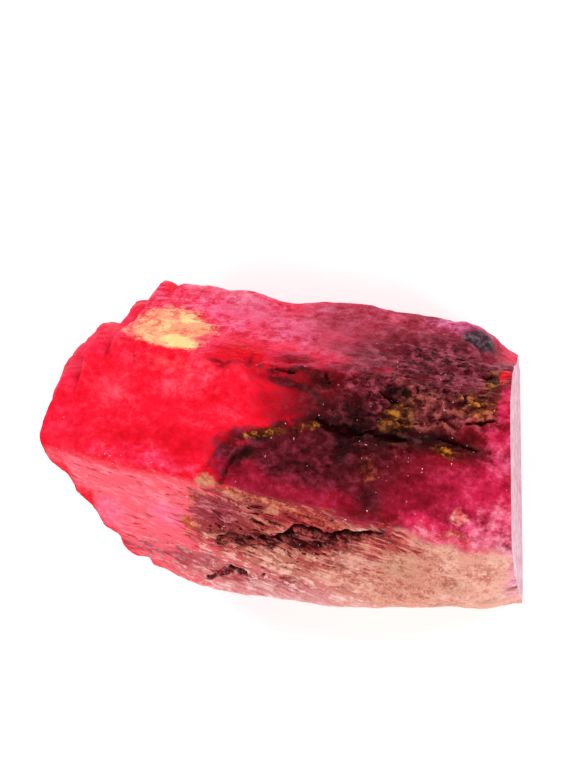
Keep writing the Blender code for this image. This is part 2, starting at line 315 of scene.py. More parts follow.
# One zone of a tone: its centre and radii, the texture its colours follow, how ragged and how soft its
# border is, its strength, and the side it keeps to, if it keeps to one
Layer = namedtuple("Layer", "tone centre radii texture ragged edge strength side", defaults=(None,))
LAYERS = (
    # clear red ruby and the tip
    Layer("deep red", (-10.0, -1.2, 24.0), (10.0, 2.6, 8.0), "cloud", 0.9, 1.0, 0.8),
    Layer("light red", (-7.4, 4.6, 24.0), (4.4, 2.4, 4.0), "cloud", 1.0, 1.0, 0.8),
    # A peach patch of painted light, where light seems to shine through the clear red
    Layer("peach_painted_light", (-10.0, 6.4, 24.2), (3.0, 1.0, 2.0), "cloud", 0.8, 0.8, 0.8),
    Layer("deep red", (0.0, 2.8, 24.2), (2.8, 3.2, 3.0), "cloud", 0.9, 1.0, 0.9),
    Layer("dark red", (0.6, 1.6, 24.2), (3.4, 2.2, 3.0), "mottle", 1.4, 1.0, 0.85),
    Layer("deep red", (-15.2, -0.4, 24.2), (2.4, 1.8, 3.0), "cloud", 0.9, 1.0, 0.8),
    Layer("pink glass", (-9.2, -3.6, 24.3), (3.4, 1.1, 2.2), "cloud", 1.2, 1.0, 0.55),
    Layer("light red", (-15.6, 4.2, 24.0), (3.0, 2.4, 4.0), "cloud", 1.0, 1.0, 0.7),
    Layer("crimson", (-12.0, -2.7, 23.8), (7.5, 1.7, 4.0), "cloud", 1.0, 1.0, 0.85),
    Layer("wine", (19.0, -2.0, 21.0), (21.5, 16.0, 14.0), "cloud", 0.4, 0.4, 1.0),
    Layer("tip red", (-20.0, 4.0, 14.0), (14.0, 20.0, 18.0), "cloud", 0.5, 0.5, 1.0, "tip"),
    Layer("tip red", (-20.6, 0.4, 23.0), (3.4, 5.0, 4.0), "cloud", 1.0, 1.0, 0.8),
    Layer("deep red", (-19.2, -1.0, 24.3), (2.2, 1.2, 2.6), "cloud", 1.2, 1.0, 0.9),
    # back flank
    Layer("crimson", (-9.0, 12.0, 12.0), (60.0, 40.0, 40.0), "haze", 0.3, 0.4, 1.0, "soft back"),
    Layer("pink glass", (-4.0, 13.0, 14.0), (6.0, 4.0, 8.0), "haze", 2.0, 0.6, 0.85, "back"),
    Layer("pink glass", (-15.0, 14.5, 13.0), (3.0, 3.0, 6.0), "haze", 2.0, 0.8, 0.6, "back"),
    Layer("dusty rose", (8.0, 11.6, 16.0), (14.0, 9.0, 14.0), "haze", 0.8, 0.6, 1.0, "back"),
    Layer("pink glass", (1.6, 11.6, 17.0), (3.4, 3.4, 6.0), "haze", 2.0, 0.7, 0.7, "back"),
    Layer("mauve", (14.0, 11.0, 13.0), (14.0, 9.0, 13.0), "haze", 0.8, 0.6, 1.0, "back"),
    Layer("mauve", (7.6, 6.1, 24.0), (5.8, 1.6, 3.2), "bark", 0.8, 0.7, 0.9),
    Layer("bark", (9.6, 6.0, 24.0), (5.0, 1.3, 2.6), "bark", 0.8, 0.7, 0.85),
    Layer("dusty rose", (10.6, 12.8, 11.0), (2.8, 2.0, 4.0), "haze", 1.6, 0.8, 0.7, "back"),
    Layer("bark", (17.0, 6.3, 18.0), (13.5, 7.4, 13.0), "bark", 0.7, 0.6, 1.0),
    Layer("orchid", (17.8, 11.6, 9.5), (4.4, 2.6, 3.6), "mottle", 0.7, 0.7, 0.9, "back"),
    Layer("slate", (19.6, 9.8, 10.9), (2.4, 1.6, 2.4), "bark", 0.7, 0.4, 0.97, "back"),
    Layer("deep red", (-2.6, 7.4, 23.0), (4.2, 2.6, 5.0), "cloud", 0.8, 0.7, 1.0),
    Layer("wine", (2.4, 6.9, 22.4), (3.6, 1.3, 2.8), "haze", 0.9, 0.8, 0.9),
    Layer("dark red", (-0.6, 5.2, 24.3), (2.2, 1.0, 1.6), "mottle", 1.2, 0.9, 0.7),
    Layer("rose glass", (-6.0, 15.0, 11.0), (8.0, 2.0, 4.0), "haze", 1.4, 0.9, 0.7, "back"),
    # front flank
    Layer("coral", (-13.0, -8.0, 12.0), (80.0, 60.0, 40.0), "splinter", 0.4, 0.5, 1.0, "soft front"),
    Layer("pale tan", (17.0, -12.0, 8.0), (21.0, 30.0, 40.0), "speckle", 0.3, 0.2, 1.0, "front"),
    Layer("coral low", (-7.4, -11.0, 14.0), (2.8, 4.0, 6.0), "splinter", 0.9, 0.8, 0.8, "soft front"),
    Layer("violet rose", (-18.0, -7.4, 16.0), (3.0, 3.4, 6.0), "cloud", 0.6, 0.8, 0.8, "soft front"),
    Layer("violet rose", (-11.4, -8.0, 18.2), (2.2, 1.6, 2.6), "splinter", 0.8, 0.8, 0.7, "soft front"),
    Layer("tan", (14.0, -13.5, 14.0), (13.5, 7.0, 12.5), "speckle", 0.4, 0.4, 1.0, "front"),
    Layer("pale tan", (20.0, -13.5, 14.0), (8.0, 5.4, 10.5), "speckle", 0.6, 0.8, 0.95, "front"),
    Layer("stone beige", (11.6, -13.4, 18.0), (3.2, 2.0, 4.0), "speckle", 1.2, 0.8, 0.8, "front"),
    Layer("stone beige", (17.0, -14.6, 15.0), (3.0, 1.8, 4.0), "speckle", 1.2, 0.8, 0.7, "front"),
    Layer("schist", (0.4, -9.4, 18.0), (10.2, 5.8, 9.0), "schist", 0.5, 0.2, 1.0, "front"),
    Layer("schist mauve", (-6.0, -8.0, 20.0), (3.6, 2.4, 4.0), "schist", 0.8, 0.7, 0.9, "front"),
    Layer("schist red", (3.0, -8.8, 21.0), (5.0, 1.8, 3.0), "schist", 0.9, 0.7, 0.9, "front"),
    Layer("pink schist", (-3.6, -14.2, 12.0), (11.5, 3.2, 6.0), "schist", 0.7, 0.6, 0.95, "front"),
    Layer("schist pale", (0.5, -12.8, 15.0), (6.0, 1.8, 4.0), "schist", 1.2, 0.6, 0.9, "front"),
    Layer("schist red", (8.8, -10.5, 20.4), (2.4, 0.8, 2.0), "schist", 0.9, 0.6, 0.9, "front"),
    Layer("pale tan", (7.0, -12.5, 17.4), (3.0, 1.5, 2.6), "speckle", 1.0, 0.8, 0.85, "front"),
    Layer("schist red", (2.9, -13.2, 15.6), (1.8, 0.6, 1.4), "schist", 1.4, 0.8, 0.8, "front"),
    Layer("schist mauve", (-12.4, -11.6, 12.4), (5.4, 0.9, 2.2), "schist", 1.4, 0.9, 0.8, "front"),
    Layer("schist red", (-2.7, -14.8, 11.2), (2.6, 0.6, 1.6), "schist", 1.4, 0.9, 0.6, "front"),
    Layer("clay", (11.2, -10.9, 21.0), (2.0, 0.7, 1.6), "bark", 0.9, 0.7, 0.8, "front"),
    Layer("edge rust", (-8.2, -6.4, 21.4), (0.9, 1.7, 2.6), "bark", 1.6, 1.0, 0.8),
    Layer("edge rust", (-9.2, -8.6, 17.6), (0.6, 1.2, 2.4), "schist", 1.8, 1.0, 0.7, "front"),
    Layer("pale pink", (1.0, -16.2, 7.4), (12.0, 2.6, 4.4), "splinter", 0.8, 0.6, 0.9, "front"),
    # Dark schist below the cracks: its own dark red and painted shadow of the cracks' overhanging ledges
    Layer("dark_schist_and_ledge_shadow", (-3.4, -10.3, 17.4), (3.2, 0.7, 1.8), "schist", 0.9, 0.7, 0.85, "front"),
    Layer("schist red", (4.0, -10.9, 18.4), (3.8, 1.0, 2.6), "schist", 0.8, 0.6, 0.9, "front"),
    Layer("dark_schist_and_ledge_shadow", (8.2, -10.3, 20.4), (3.0, 0.5, 1.6), "schist", 0.7, 0.6, 0.8, "front"),
    Layer("schist red", (-6.8, -14.0, 11.4), (2.6, 0.5, 1.6), "schist", 0.7, 0.6, 0.8, "front"),
    Layer("beige", (-6.1, -5.1, 24.0), (1.4, 0.9, 1.6), "mottle", 0.5, 0.5, 0.95),
    Layer("beige", (-3.4, -6.2, 23.4), (1.3, 0.6, 1.2), "mottle", 0.5, 0.5, 0.9),
    Layer("beige", (-0.2, -7.9, 21.9), (1.3, 0.6, 1.2), "mottle", 0.5, 0.5, 0.9),
    # top face and the ridge in front of it
    Layer("wine", (18.6, 0.0, 24.5), (21.0, 14.0, 9.0), "cloud", 0.4, 0.3, 1.0, "top"),
    Layer("dark wine", (1.2, -3.6, 24.5), (8.2, 3.9, 4.0), "mottle", 0.4, 0.3, 1.0, "top"),
    Layer("magenta", (-2.4, -4.6, 24.5), (3.4, 1.7, 3.0), "cloud", 0.6, 0.6, 0.95, "top"),
    Layer("magenta", (-4.6, -3.9, 24.4), (1.9, 1.7, 3.0), "mottle", 0.9, 0.7, 0.95, "top"),
    Layer("dark red", (-3.4, -1.3, 24.4), (1.8, 0.7, 1.6), "mottle", 0.8, 0.8, 0.85),
    Layer("magenta", (2.6, -6.6, 24.4), (8.5, 2.2, 5.0), "cloud", 0.6, 0.8, 1.0, "top"),
    Layer("magenta", (16.5, -7.4, 23.8), (11.5, 4.6, 6.0), "cloud", 0.5, 0.6, 1.0),
    Layer("magenta", (9.0, -8.6, 23.0), (3.6, 1.6, 3.0), "mottle", 0.8, 0.6, 1.0),
    Layer("bright magenta", (22.4, -7.2, 23.6), (10.5, 4.2, 8.0), "cloud", 0.5, 1.0, 1.0),
    Layer("bright magenta", (15.0, -9.8, 23.0), (6.0, 1.4, 4.0), "mottle", 0.9, 0.8, 0.9),
    Layer("dark wine", (8.0, -1.6, 24.5), (9.5, 6.0, 6.0), "mottle", 0.5, 0.7, 1.0, "top"),
    Layer("core", (8.8, 0.4, 24.5), (6.6, 5.4, 6.0), "bark", 0.5, 0.8, 1.0, "top"),
    Layer("dark wine", (2.6, -0.8, 24.3), (3.0, 1.1, 2.0), "mottle", 0.8, 0.8, 0.97),
    Layer("dark wine", (2.6, -0.1, 24.3), (1.8, 1.2, 1.8), "mottle", 0.5, 0.7, 0.97),
    Layer("dark wine", (9.2, -6.2, 24.0), (4.0, 4.2, 4.0), "mottle", 0.6, 1.0, 0.95),
    Layer("wine", (11.4, -9.0, 24.0), (2.0, 1.6, 2.0), "mottle", 0.8, 0.8, 0.95),
    Layer("magenta", (7.2, -7.2, 24.3), (2.2, 1.3, 2.0), "mottle", 0.8, 0.8, 0.95),
    Layer("wine", (8.2, -8.3, 24.0), (2.0, 1.1, 1.8), "mottle", 0.8, 0.8, 0.95),
    Layer("core", (9.6, -7.4, 23.6), (1.9, 2.2, 3.0), "mottle", 0.8, 1.0, 0.8),
    Layer("bark", (15.0, 2.8, 24.5), (10.5, 3.8, 5.0), "bark", 0.6, 0.5, 1.0),
    Layer("bark brown", (16.0, 2.5, 24.5), (8.0, 3.6, 4.0), "bark", 0.9, 0.9, 0.9),
    Layer("core", (16.0, -1.6, 24.5), (8.4, 2.0, 3.0), "bark", 0.6, 0.6, 0.8),
    Layer("bark brown", (15.0, 0.2, 24.5), (3.4, 1.2, 3.0), "bark", 0.7, 0.7, 0.8),
    Layer("bright magenta", (22.2, -1.6, 24.4), (2.4, 1.5, 2.0), "mottle", 0.8, 0.7, 0.9),
    Layer("bright magenta", (14.8, -9.4, 23.8), (3.2, 1.4, 2.4), "cloud", 0.7, 0.6, 0.95),
    Layer("glassy pink", (18.0, -11.0, 23.2), (5.4, 1.1, 1.5), "mottle", 1.0, 0.6, 0.9),
    Layer("glassy pink", (15.0, -9.8, 24.2), (1.4, 0.8, 1.0), "mottle", 0.9, 0.7, 0.9),
    Layer("pink glass", (19.2, -9.9, 24.2), (1.5, 1.3, 1.5), "mottle", 0.9, 0.7, 0.85),
    Layer("lump", (18.2, -8.9, 24.5), (1.1, 0.9, 1.2), "mottle", 0.9, 0.7, 0.9),
    Layer("clay", (17.6, -10.4, 23.8), (2.0, 0.5, 1.2), "bark", 0.9, 0.6, 0.7),
    Layer("rose glass", (22.2, -9.3, 24.2), (2.6, 2.9, 2.8), "mottle", 0.8, 0.8, 0.97),
    Layer("rose glass", (20.8, -10.6, 24.0), (3.0, 1.3, 2.6), "mottle", 0.8, 0.8, 0.97),
    Layer("violet edge", (22.8, -11.8, 23.2), (1.4, 1.0, 2.4), "speckle", 0.8, 0.8, 0.9),
    Layer("schist red", (10.8, -10.7, 21.4), (3.4, 1.4, 3.4), "schist", 0.9, 0.6, 1.0),
    Layer("coral low", (13.4, -10.5, 22.8), (1.2, 0.7, 1.4), "mottle", 1.2, 0.9, 0.8),
    # dark minerals
    Layer("pit", (8.2, -0.3, 24.0), (4.0, 1.2, 1.8), "mottle", 0.9, 0.7, 0.97),
    Layer("olive", (12.4, 0.4, 24.2), (2.6, 3.4, 2.0), "bark", 0.8, 0.7, 0.9),
    Layer("pit", (16.4, -1.5, 24.0), (5.0, 0.9, 1.8), "bark", 1.2, 0.8, 0.9),
    Layer("slate", (14.4, -1.3, 24.2), (2.8, 0.8, 1.6), "bark", 1.4, 0.9, 0.75),
    Layer("pit", (12.0, 3.2, 23.6), (1.8, 0.8, 1.6), "bark", 0.9, 0.5, 0.95),
    Layer("pit", (5.4, 4.8, 24.0), (2.4, 1.8, 2.0), "bark", 0.9, 0.9, 0.9),
    Layer("pit", (7.0, -2.4, 24.4), (1.3, 2.8, 2.0), "bark", 1.0, 0.9, 0.9),
    Layer("pit", (1.3, 5.6, 24.2), (2.0, 0.7, 1.4), "bark", 1.5, 0.9, 0.95),
    Layer("core", (3.2, 5.6, 24.0), (2.2, 0.9, 1.4), "bark", 1.4, 0.9, 0.8),
    Layer("dark wine", (-4.4, 6.5, 24.3), (1.7, 0.45, 1.2), "bark", 1.8, 1.0, 0.9),
    Layer("dark wine", (-2.0, 6.9, 23.6), (0.5, 1.1, 1.6), "bark", 1.8, 1.0, 0.85),
    Layer("core", (-1.4, 6.2, 24.3), (2.4, 0.35, 1.2), "bark", 1.4, 0.9, 0.7),
    # rust, and the pale edge of the sawn end
    Layer("ochre", (21.6, 4.6, 20.6), (1.5, 3.0, 3.4), "bark", 1.4, 0.9, 0.9),
    Layer("ochre", (20.2, 1.6, 23.8), (2.6, 2.0, 2.0), "bark", 1.6, 1.0, 0.8),
    Layer("ochre", (11.8, 0.5, 24.2), (1.6, 2.0, 1.8), "bark", 1.8, 1.2, 0.6),
    Layer("ochre", (16.7, -2.5, 24.3), (1.7, 0.8, 1.4), "mottle", 0.8, 0.6, 0.97),
    Layer("rust", (9.8, -4.2, 24.5), (1.5, 2.2, 1.8), "bark", 1.5, 1.0, 0.9),
    Layer("rust", (22.2, 2.2, 24.0), (0.9, 2.0, 2.0), "bark", 1.0, 0.7, 0.85),
    Layer("violet edge", (23.2, -12.5, 14.0), (1.3, 7.0, 12.0), "speckle", 0.8, 0.7, 0.85, "front"),
    Layer("rust", (22.4, -15.0, 13.0), (1.2, 1.2, 2.0), "mottle", 0.9, 0.6, 0.85, "front"),
    # clear windows near the sawn end, and painted light on the back flank: a yellow patch with a crimson
    # fringe where light seems to shine out through the stone
    Layer("bright magenta", (22.9, 2.0, 23.6), (0.9, 3.6, 3.0), "mottle", 0.6, 0.6, 0.9),
    Layer("bright magenta", (21.8, -4.7, 24.4), (3.0, 2.4, 2.6), "cloud", 0.8, 0.8, 0.95),
    Layer("pink glass", (22.4, -3.9, 24.4), (1.8, 2.6, 2.0), "mottle", 1.0, 0.8, 0.7),
    Layer("deep red", (22.6, 5.0, 18.6), (0.9, 1.2, 2.4), "cloud", 0.5, 0.6, 0.95),
    Layer("orchid", (22.6, 7.9, 14.6), (1.4, 1.3, 2.6), "cloud", 0.5, 0.6, 0.8),
    Layer("painted_glow", (-10.5, 10.4, 20.4), (4.8, 4.6, 6.8), "pane", 0.7, 0.4, 0.97, "back"),
    Layer("glow core", (-13.0, 9.6, 21.8), (0.9, 0.8, 1.6), "pane", 0.8, 0.6, 0.5, "back"),
    Layer("glow core", (-9.2, 8.6, 22.8), (2.2, 1.6, 2.4), "pane", 0.6, 0.4, 0.97, "back"),
    Layer("glow core", (-9.4, 11.4, 18.2), (1.4, 1.1, 1.8), "pane", 0.8, 0.5, 0.9, "back"),
    Layer("crimson", (-7.0, 9.0, 21.8), (1.2, 0.9, 1.8), "haze", 1.4, 0.8, 0.8, "back"),
)

# Stains that follow a line: their tone and texture, how ragged they are, their strength, and the
# routes seen from above with the half width of each
Stain = namedtuple("Stain", "tone texture ragged strength routes")
Route = namedtuple("Route", "points half_width")
STAINS = {
    "clay stain": Stain("clay", "bark", 1.4, 0.8, (
        Route(
            ((-6.7, -4.5), (-5.3, -5.4), (-2.9, -6.3), (-0.8, -7.0), (1.9, -7.8), (4.7, -9.0), (7.4, -9.6)),
            0.45,
        ),
    )),
    "faint stain": Stain("dark wine", "bark", 1.6, 0.9, (
        Route(((-6.2, -4.0), (-4.9, -2.2), (-2.7, -0.8), (-0.6, -0.2), (1.7, 0.0)), 0.55),
    )),
    "core stain": Stain("core", "mottle", 1.6, 0.85, (
        Route(((1.2, 0.2), (3.2, 0.5), (4.8, 0.6)), 0.8),
        Route(((0.4, 4.8), (4.0, 3.6), (5.4, 2.0)), 0.7),
    )),
    "dark stain": Stain("pit", "mottle", 1.6, 0.9, (
        Route(((-4.6, -5.2), (-4.1, -3.9), (-3.3, -2.9), (-1.8, -2.2)), 0.7),
        Route(((-1.2, -0.9), (-0.2, -0.8)), 0.7),
        Route(((4.6, 0.6), (7.3, -0.2), (9.9, -0.9), (12.6, -1.3), (15.4, -1.4)), 1.2),
    )),
    # Dark bands along the front cracks: partly dark filling, partly painted shadow under the cracks'
    # overhanging ledges
    "crack_stain_and_shadow": Stain("crevice", "seams", 1.5, 0.95, (
        Route(((-6.4, -10.7), (-5.3, -10.3), (-3.9, -10.6), (-2.2, -10.5), (-1.0, -10.9)), 0.65),
        Route(
            ((-0.8, -10.8), (0.6, -10.5), (2.3, -9.9), (4.1, -10.4),
             (5.6, -10.7), (8.0, -10.4), (10.6, -10.1)),
            0.6,
        ),
        Route(((1.1, -10.8), (2.5, -11.1), (3.9, -11.3), (5.2, -11.0)), 0.75),
        Route(((-8.8, -14.2), (-7.3, -13.7), (-5.6, -13.4), (-4.3, -13.8)), 0.22),
    )),
    "ochre stain": Stain("ochre", "bark", 1.6, 0.85, (
        Route(((-2.0, -0.6), (0.6, -0.3), (2.6, -0.2), (4.6, 0.2)), 0.6),
    )),
}

# Plain patterns: the frame they lie in, size of one patch along each of its axes, how far it wanders,
# its detail, and the two noise levels that become 0 and 1
Pattern = namedtuple("Pattern", "frame size wander detail low high")
PATTERNS = {
    "broad": Pattern("crystal", (3.6, 3.2, 5.5), 0.0, 1.5, 0.28, 0.72),
    "billow": Pattern("crystal", (1.5, 1.3, 2.6), 0.0, 2.0, 0.28, 0.72),
    "spots": Pattern("crystal", (0.75, 0.65, 1.3), 0.0, 2.0, 0.28, 0.72),
    "flecks": Pattern("crystal", (0.4, 0.3, 0.6), 0.0, 1.0, 0.3, 0.7),
    "grain": Pattern("crystal", (0.22, 0.2, 0.36), 0.0, 1.0, 0.28, 0.72),
    "strata": Pattern("strata", (2.4, 1.0, 0.48), 0.5, 2.0, 0.3, 0.7),
    "dash": Pattern("strata", (1.7, 0.8, 0.3), 0.4, 1.5, 0.56, 0.72),
    "rift": Pattern("strata", (1.8, 0.9, 0.34), 0.6, 2.0, 0.5, 0.64),
}
# Grains that fill the stone: the frame they lie in, size of one, how far its cells wander, and the
# width of the seam around it as a share of its size
Grains = namedtuple("Grains", "frame size wander seam")
GRAINS = {
    "lens": Grains("strata", (2.0, 1.0, 0.55), 0.5, 0.25),
    "shard": Grains("crystal", (0.8, 0.55, 0.95), 1.2, 0.16),
    "pane": Grains("crystal", (1.7, 1.3, 2.4), 0.8, 0.0),
}
VEIN_CELL = (6.0, 4.0, 4.0)
VEIN_WIDTH = 0.035
VEIN_PLACES = (0.3, 0.9)  # the levels of the broad pattern at which veins begin and are full
VEIN_STRENGTH = 0.6
# Textures: the patterns that take a tone from dark to middle, those that take it on to light, and
# how much painted shade darkens the hollows and painted highlight lightens the crests
Texture = namedtuple("Texture", "ground bloom relief")
TEXTURES = {
    "cloud": Texture(
        {"broad": 0.5, "billow": 0.35, "spots": 0.3, "flecks": 0.2},
        {"broad": 0.4, "billow": 0.4, "spots": 0.4, "grain": 0.3},
        0.8,
    ),
    "mottle": Texture(
        {"billow": 0.6, "spots": 0.5, "grain": 0.3},
        {"billow": 0.6, "spots": 0.5, "grain": 0.3},
        1.2,
    ),
    "haze": Texture(
        {"billow": 0.5, "spots": 0.3, "grain": 0.3},
        {"broad": 0.3, "billow": 0.4, "spots": 0.3, "grain": 0.3},
        0.7,
    ),
    "speckle": Texture(
        {"billow": 0.5, "spots": 0.4, "grain": 0.5},
        {"broad": 0.5, "spots": 0.5, "grain": 0.4},
        1.2,
    ),
    "splinter": Texture(
        {"broad": 0.3, "dash": -1.0, "strata": 0.3, "grain": 0.3},
        {"strata": 0.7, "billow": 0.4, "spots": 0.3},
        0.9,
    ),
    "schist": Texture(
        {"strata": 0.9, "rift": -1.5, "lens seam": 0.6, "spots": 0.6, "grain": 0.4},
        {"strata": 0.8, "lens tint": 0.4, "billow": 0.8, "spots": 0.5, "grain": 0.5},
        1.8,
    ),
    "seams": Texture(
        {"strata": 1.2, "rift": -1.0, "spots": 0.7},
        {"strata": 0.9, "spots": 0.6, "grain": 0.6},
        1.6,
    ),
    "bark": Texture(
        {"shard": 0.4, "shard seam": 0.5, "spots": 0.6, "grain": 0.3},
        {"shard tint": 0.4, "billow": 0.7, "spots": 0.4, "grain": 0.3},
        1.5,
    ),
    "pane": Texture(
        {"pane": 0.5, "spots": 0.6, "grain": 0.4},
        {"pane tint": 0.7, "spots": 0.7, "grain": 0.3},
        0.6,
    ),
}
# The levels of ground and of bloom at which a tone's middle and light colour begin and are full
GROUND_RISE = (0.0, 0.6)
BLOOM_RISE = (0.42, 1.1)
BORDER = {"broad": 0.6, "spots": 0.35, "grain": 0.12}
NOISE_ROUGHNESS = 0.55
WARP_SIZE = (2.4, 2.4, 4.0)
WARP_DETAIL = 3.0
WARP_REACH = 1.2
# Where a side's colours begin and are full, in millimetres past its ridge
SIDE_EDGES = {
    "front": ("front", 0.5, 1.1),
    "soft front": ("front", 0.3, 2.4),
    "back": ("back", -0.2, 0.5),
    "soft back": ("back", -0.6, 1.6),
    "tip": ("tip", -0.4, 0.4),
}
TOP_EDGE = (0.8, 1.5)
SIDE_RAGGED = 0.8
# Where the last colours begin and are full, and how strongly they cover the skin: stains by their level,
# the cut faces by the place in millimetres, the cracks' dark filling and painted shade by their depth, and
# the painted shade in hollows by their hollowness
STAIN_RISE = (0.05, 0.8)
SAWN_RISE = (SAWN_END - 0.02, SAWN_END - 0.004)
SAWN_STRENGTH = 0.9
UNDER_RISE = (0.02, 0.004)
UNDER_STRENGTH = 0.8
CRACK_RISE = (0.02, 0.6)
CRACK_STRENGTH = 0.9
HOLLOW_SHADE_RISE = (0.03, 0.18)
HOLLOW_SHADE_STRENGTH = 0.6
# How much fainter the painted shade in hollows is in the clear stone of the tip and of the back flank
TIP_CLEARNESS = 0.7
BACK_CLEARNESS = 0.4
# The finest grain is a bump: its depth, its strength, how much weaker it is on the tip, and the share of
# flecks in it, the rest being spots
BUMP_DEPTH = 0.2
BUMP_STRENGTH = 0.8
TIP_SMOOTHNESS = 0.65
BUMP_FLECKS = 0.4
ROUGHNESS = 0.42
GLASSINESS = {
    "IOR": 1.08,
    "Subsurface Weight": 0.15,
    "Subsurface Radius": (1.0, 0.15, 0.2),
    "Subsurface Scale": MM,
}

# ---------------------------------------------------------------- mica flakes
MICA_PER_MM2 = 0.35  # where it lies densest
MICA_SMALLEST = 0.025
MICA_LARGEST = 0.075
MICA_SIDES = 4
MICA_THICKNESS = 0.25  # as a share of the flake's size, as are its length and width
MICA_STRETCH = (2.2, 0.8, 1.0)
MICA_TIP = 35.0  # how far a flake tips out of the skin
MICA_SEED = 3
MICA_DETAIL = 2.0
MICA_RISE = (0.4, 0.6)
MICA_ROUGHNESS = 0.2
MICA_PLACES = (
    Patch((14.0, -0.5, 24.5), (9.0, 4.5, 4.0), 1.0),
    Patch((16.0, 8.0, 18.0), (9.0, 5.0, 7.0), 0.5),
    Patch((0.0, -9.5, 18.5), (9.0, 4.5, 6.0), 0.8),
    Patch((-15.0, -2.4, 24.0), (4.5, 1.2, 2.5), 0.8),
    Patch((1.0, 6.0, 24.0), (6.0, 1.2, 2.0), 0.6),
    Patch((16.0, -9.0, 23.5), (8.0, 2.0, 3.0), 0.5),
    Patch((0.0, 0.0, 12.0), (60.0, 60.0, 60.0), 0.05),
)

# ---------------------------------------------------------------- stage
CAMERA_PLACE = (31.2, -16.8, 205.0)
CAMERA_TARGET = (-0.1, 5.6, 12.0)
CAMERA_LENS = 90.0
SENSOR = 36.0
NEAREST_SEEN = 0.01  # metres from the camera
# Name, place in metres, width in metres, power in watts
STUDIO_LIGHTS = (
    ("key", (0.55, -0.6, 0.6), 0.5, 6.7),
    ("front fill", (-0.5, -0.6, 0.6), 0.6, 5.6),
    ("back fill", (-0.5, 0.6, 0.6), 0.6, 6.8),
    ("end fill", (0.6, 0.5, 0.6), 0.6, 5.6),
)
SURROUND = 0.3
FLOOR_COLOUR = (0.96, 0.97, 0.97)
FLOOR_ROUGHNESS = 0.6
FLOOR_HALF = 1.5  # metres
FLOOR_CELLS = 8
FLOOR_DROP = 0.05


def outward(face):
    """The outward normal of a face."""
    compass = math.radians(face.compass)
    lean = math.radians(face.lean)
    return np.array([math.cos(lean) * math.cos(compass), math.cos(lean) * math.sin(compass), math.sin(lean)])


def middle():
    """The point that the faces' distances are measured from."""
    return np.array([0.0, 0.0, THICKNESS / 2])


def cell_random(cell, seed):
    """A steady random number from 0 to 1 for each whole-numbered cell of space."""
    key = sum(cell[:, axis] * prime for axis, prime in enumerate(CELL_PRIMES)) + seed * SEED_PRIME
    key = key & BITS
    key = ((key ^ (key >> 13)) * SEED_PRIME) & BITS
    return (key ^ (key >> 16)) / BITS


def cell_vector(cell, seed):
    """Three steady random numbers from 0 to 1 for each cell."""
    return np.stack([cell_random(cell, seed + part) for part in range(3)], axis=1)


def smooth_noise(points, seed):
    """Noise from -1 to 1 that rises and falls about once in each unit of length."""
    cell = np.floor(points).astype(np.int64)
    blend = points - cell
    blend = blend * blend * (3 - 2 * blend)
    total = np.zeros(len(points))
    for corner in itertools.product((0, 1), repeat=3):
        weight = np.prod(np.where(corner, blend, 1 - blend), axis=1)
        total += weight * cell_random(cell + corner, seed)
    return total * 2 - 1


def vector_noise(points, seed):
    """Three noises from -1 to 1 for each point."""
    return np.stack([smooth_noise(points, seed + part) for part in range(3)], axis=1)


def layered_noise(points, waves, level=0.0):
    """The noises of some waves added up around a level."""
    return sum((wave.height * smooth_noise(points / wave.size, wave.seed) for wave in waves), level)


def plate_levels(points, seed, edge, tilt=0.0):
    """A level from 0 to 1 for each point, nearly even over each random cell. The edge keeps ramps short."""
    cell = np.floor(points).astype(np.int64)
    weights = np.zeros(len(points))
    levels = np.zeros(len(points))
    for offset in itertools.product((-1, 0, 1), repeat=3):
        near = cell + offset
        away = points - near - cell_vector(near, seed)
        weight = np.exp(-edge * np.linalg.norm(away, axis=1))
        weights += weight
        levels += weight * cell_random(near, seed + 3)
        if tilt:
            slopes = cell_vector(near, seed + 4) - 0.5
            levels += weight * 2 * tilt * np.sum(slopes * away, axis=1)
    return levels / weights


def along_crystal(points):
    """Coordinates along the crystal's long axis, across it and up."""
    turn = math.radians(AXIS_TURN)
    along = points[:, 0] * math.cos(turn) + points[:, 1] * math.sin(turn)
    across = points[:, 1] * math.cos(turn) - points[:, 0] * math.sin(turn)
    return np.stack([along, across, points[:, 2]], axis=1)


def strata_axes():
    """The directions of the front flank's thin layers: along them, out of the flank, and across them."""
    out = outward(next(face for face in FACES if face.side == "front"))
    level = np.cross((0.0, 0.0, 1.0), out)
    level /= np.linalg.norm(level)
    drop = math.radians(STRATA_DROP)
    along = math.cos(drop) * level + math.sin(drop) * np.cross(level, out)
    return np.array([along, out, np.cross(along, out)])


def along_strata(points):
    """Coordinates along the front flank's thin layers, out of the flank and across the layers."""
    return points @ strata_axes().T


def nearness(points, patch):
    """1 at the middle of a patch, falling smoothly to 0 outside it."""
    offset = (points - patch.centre) / patch.radii
    return np.exp(-np.sum(offset * offset, axis=1))


def patch_depth(points, patches):
    """The depths of all patches together at each point."""
    return sum(patch.depth * nearness(points, patch) for patch in patches)


def patch_share(points, patches):
    """The patches' strength at each point, from 0 to 1."""
    return np.clip(patch_depth(points, patches), 0, 1)


def distance_to_route(points, route):
    """How far each point is from a route of straight stretches, seen from above."""
    nearest = np.full(len(points), np.inf)
    for start, end in zip(route, route[1:]):
        start, run = np.array(start), np.subtract(end, start)
        share = np.clip((points[:, :2] - start) @ run / (run @ run), 0, 1)
        gap = np.linalg.norm(points[:, :2] - start - share[:, None] * run, axis=1)
        nearest = np.minimum(nearest, gap)
    return nearest


def faces_up(points):
    """Whether each point is high enough to be seen from above, where cracks and stains lie."""
    return points[:, 2] > THICKNESS / 3


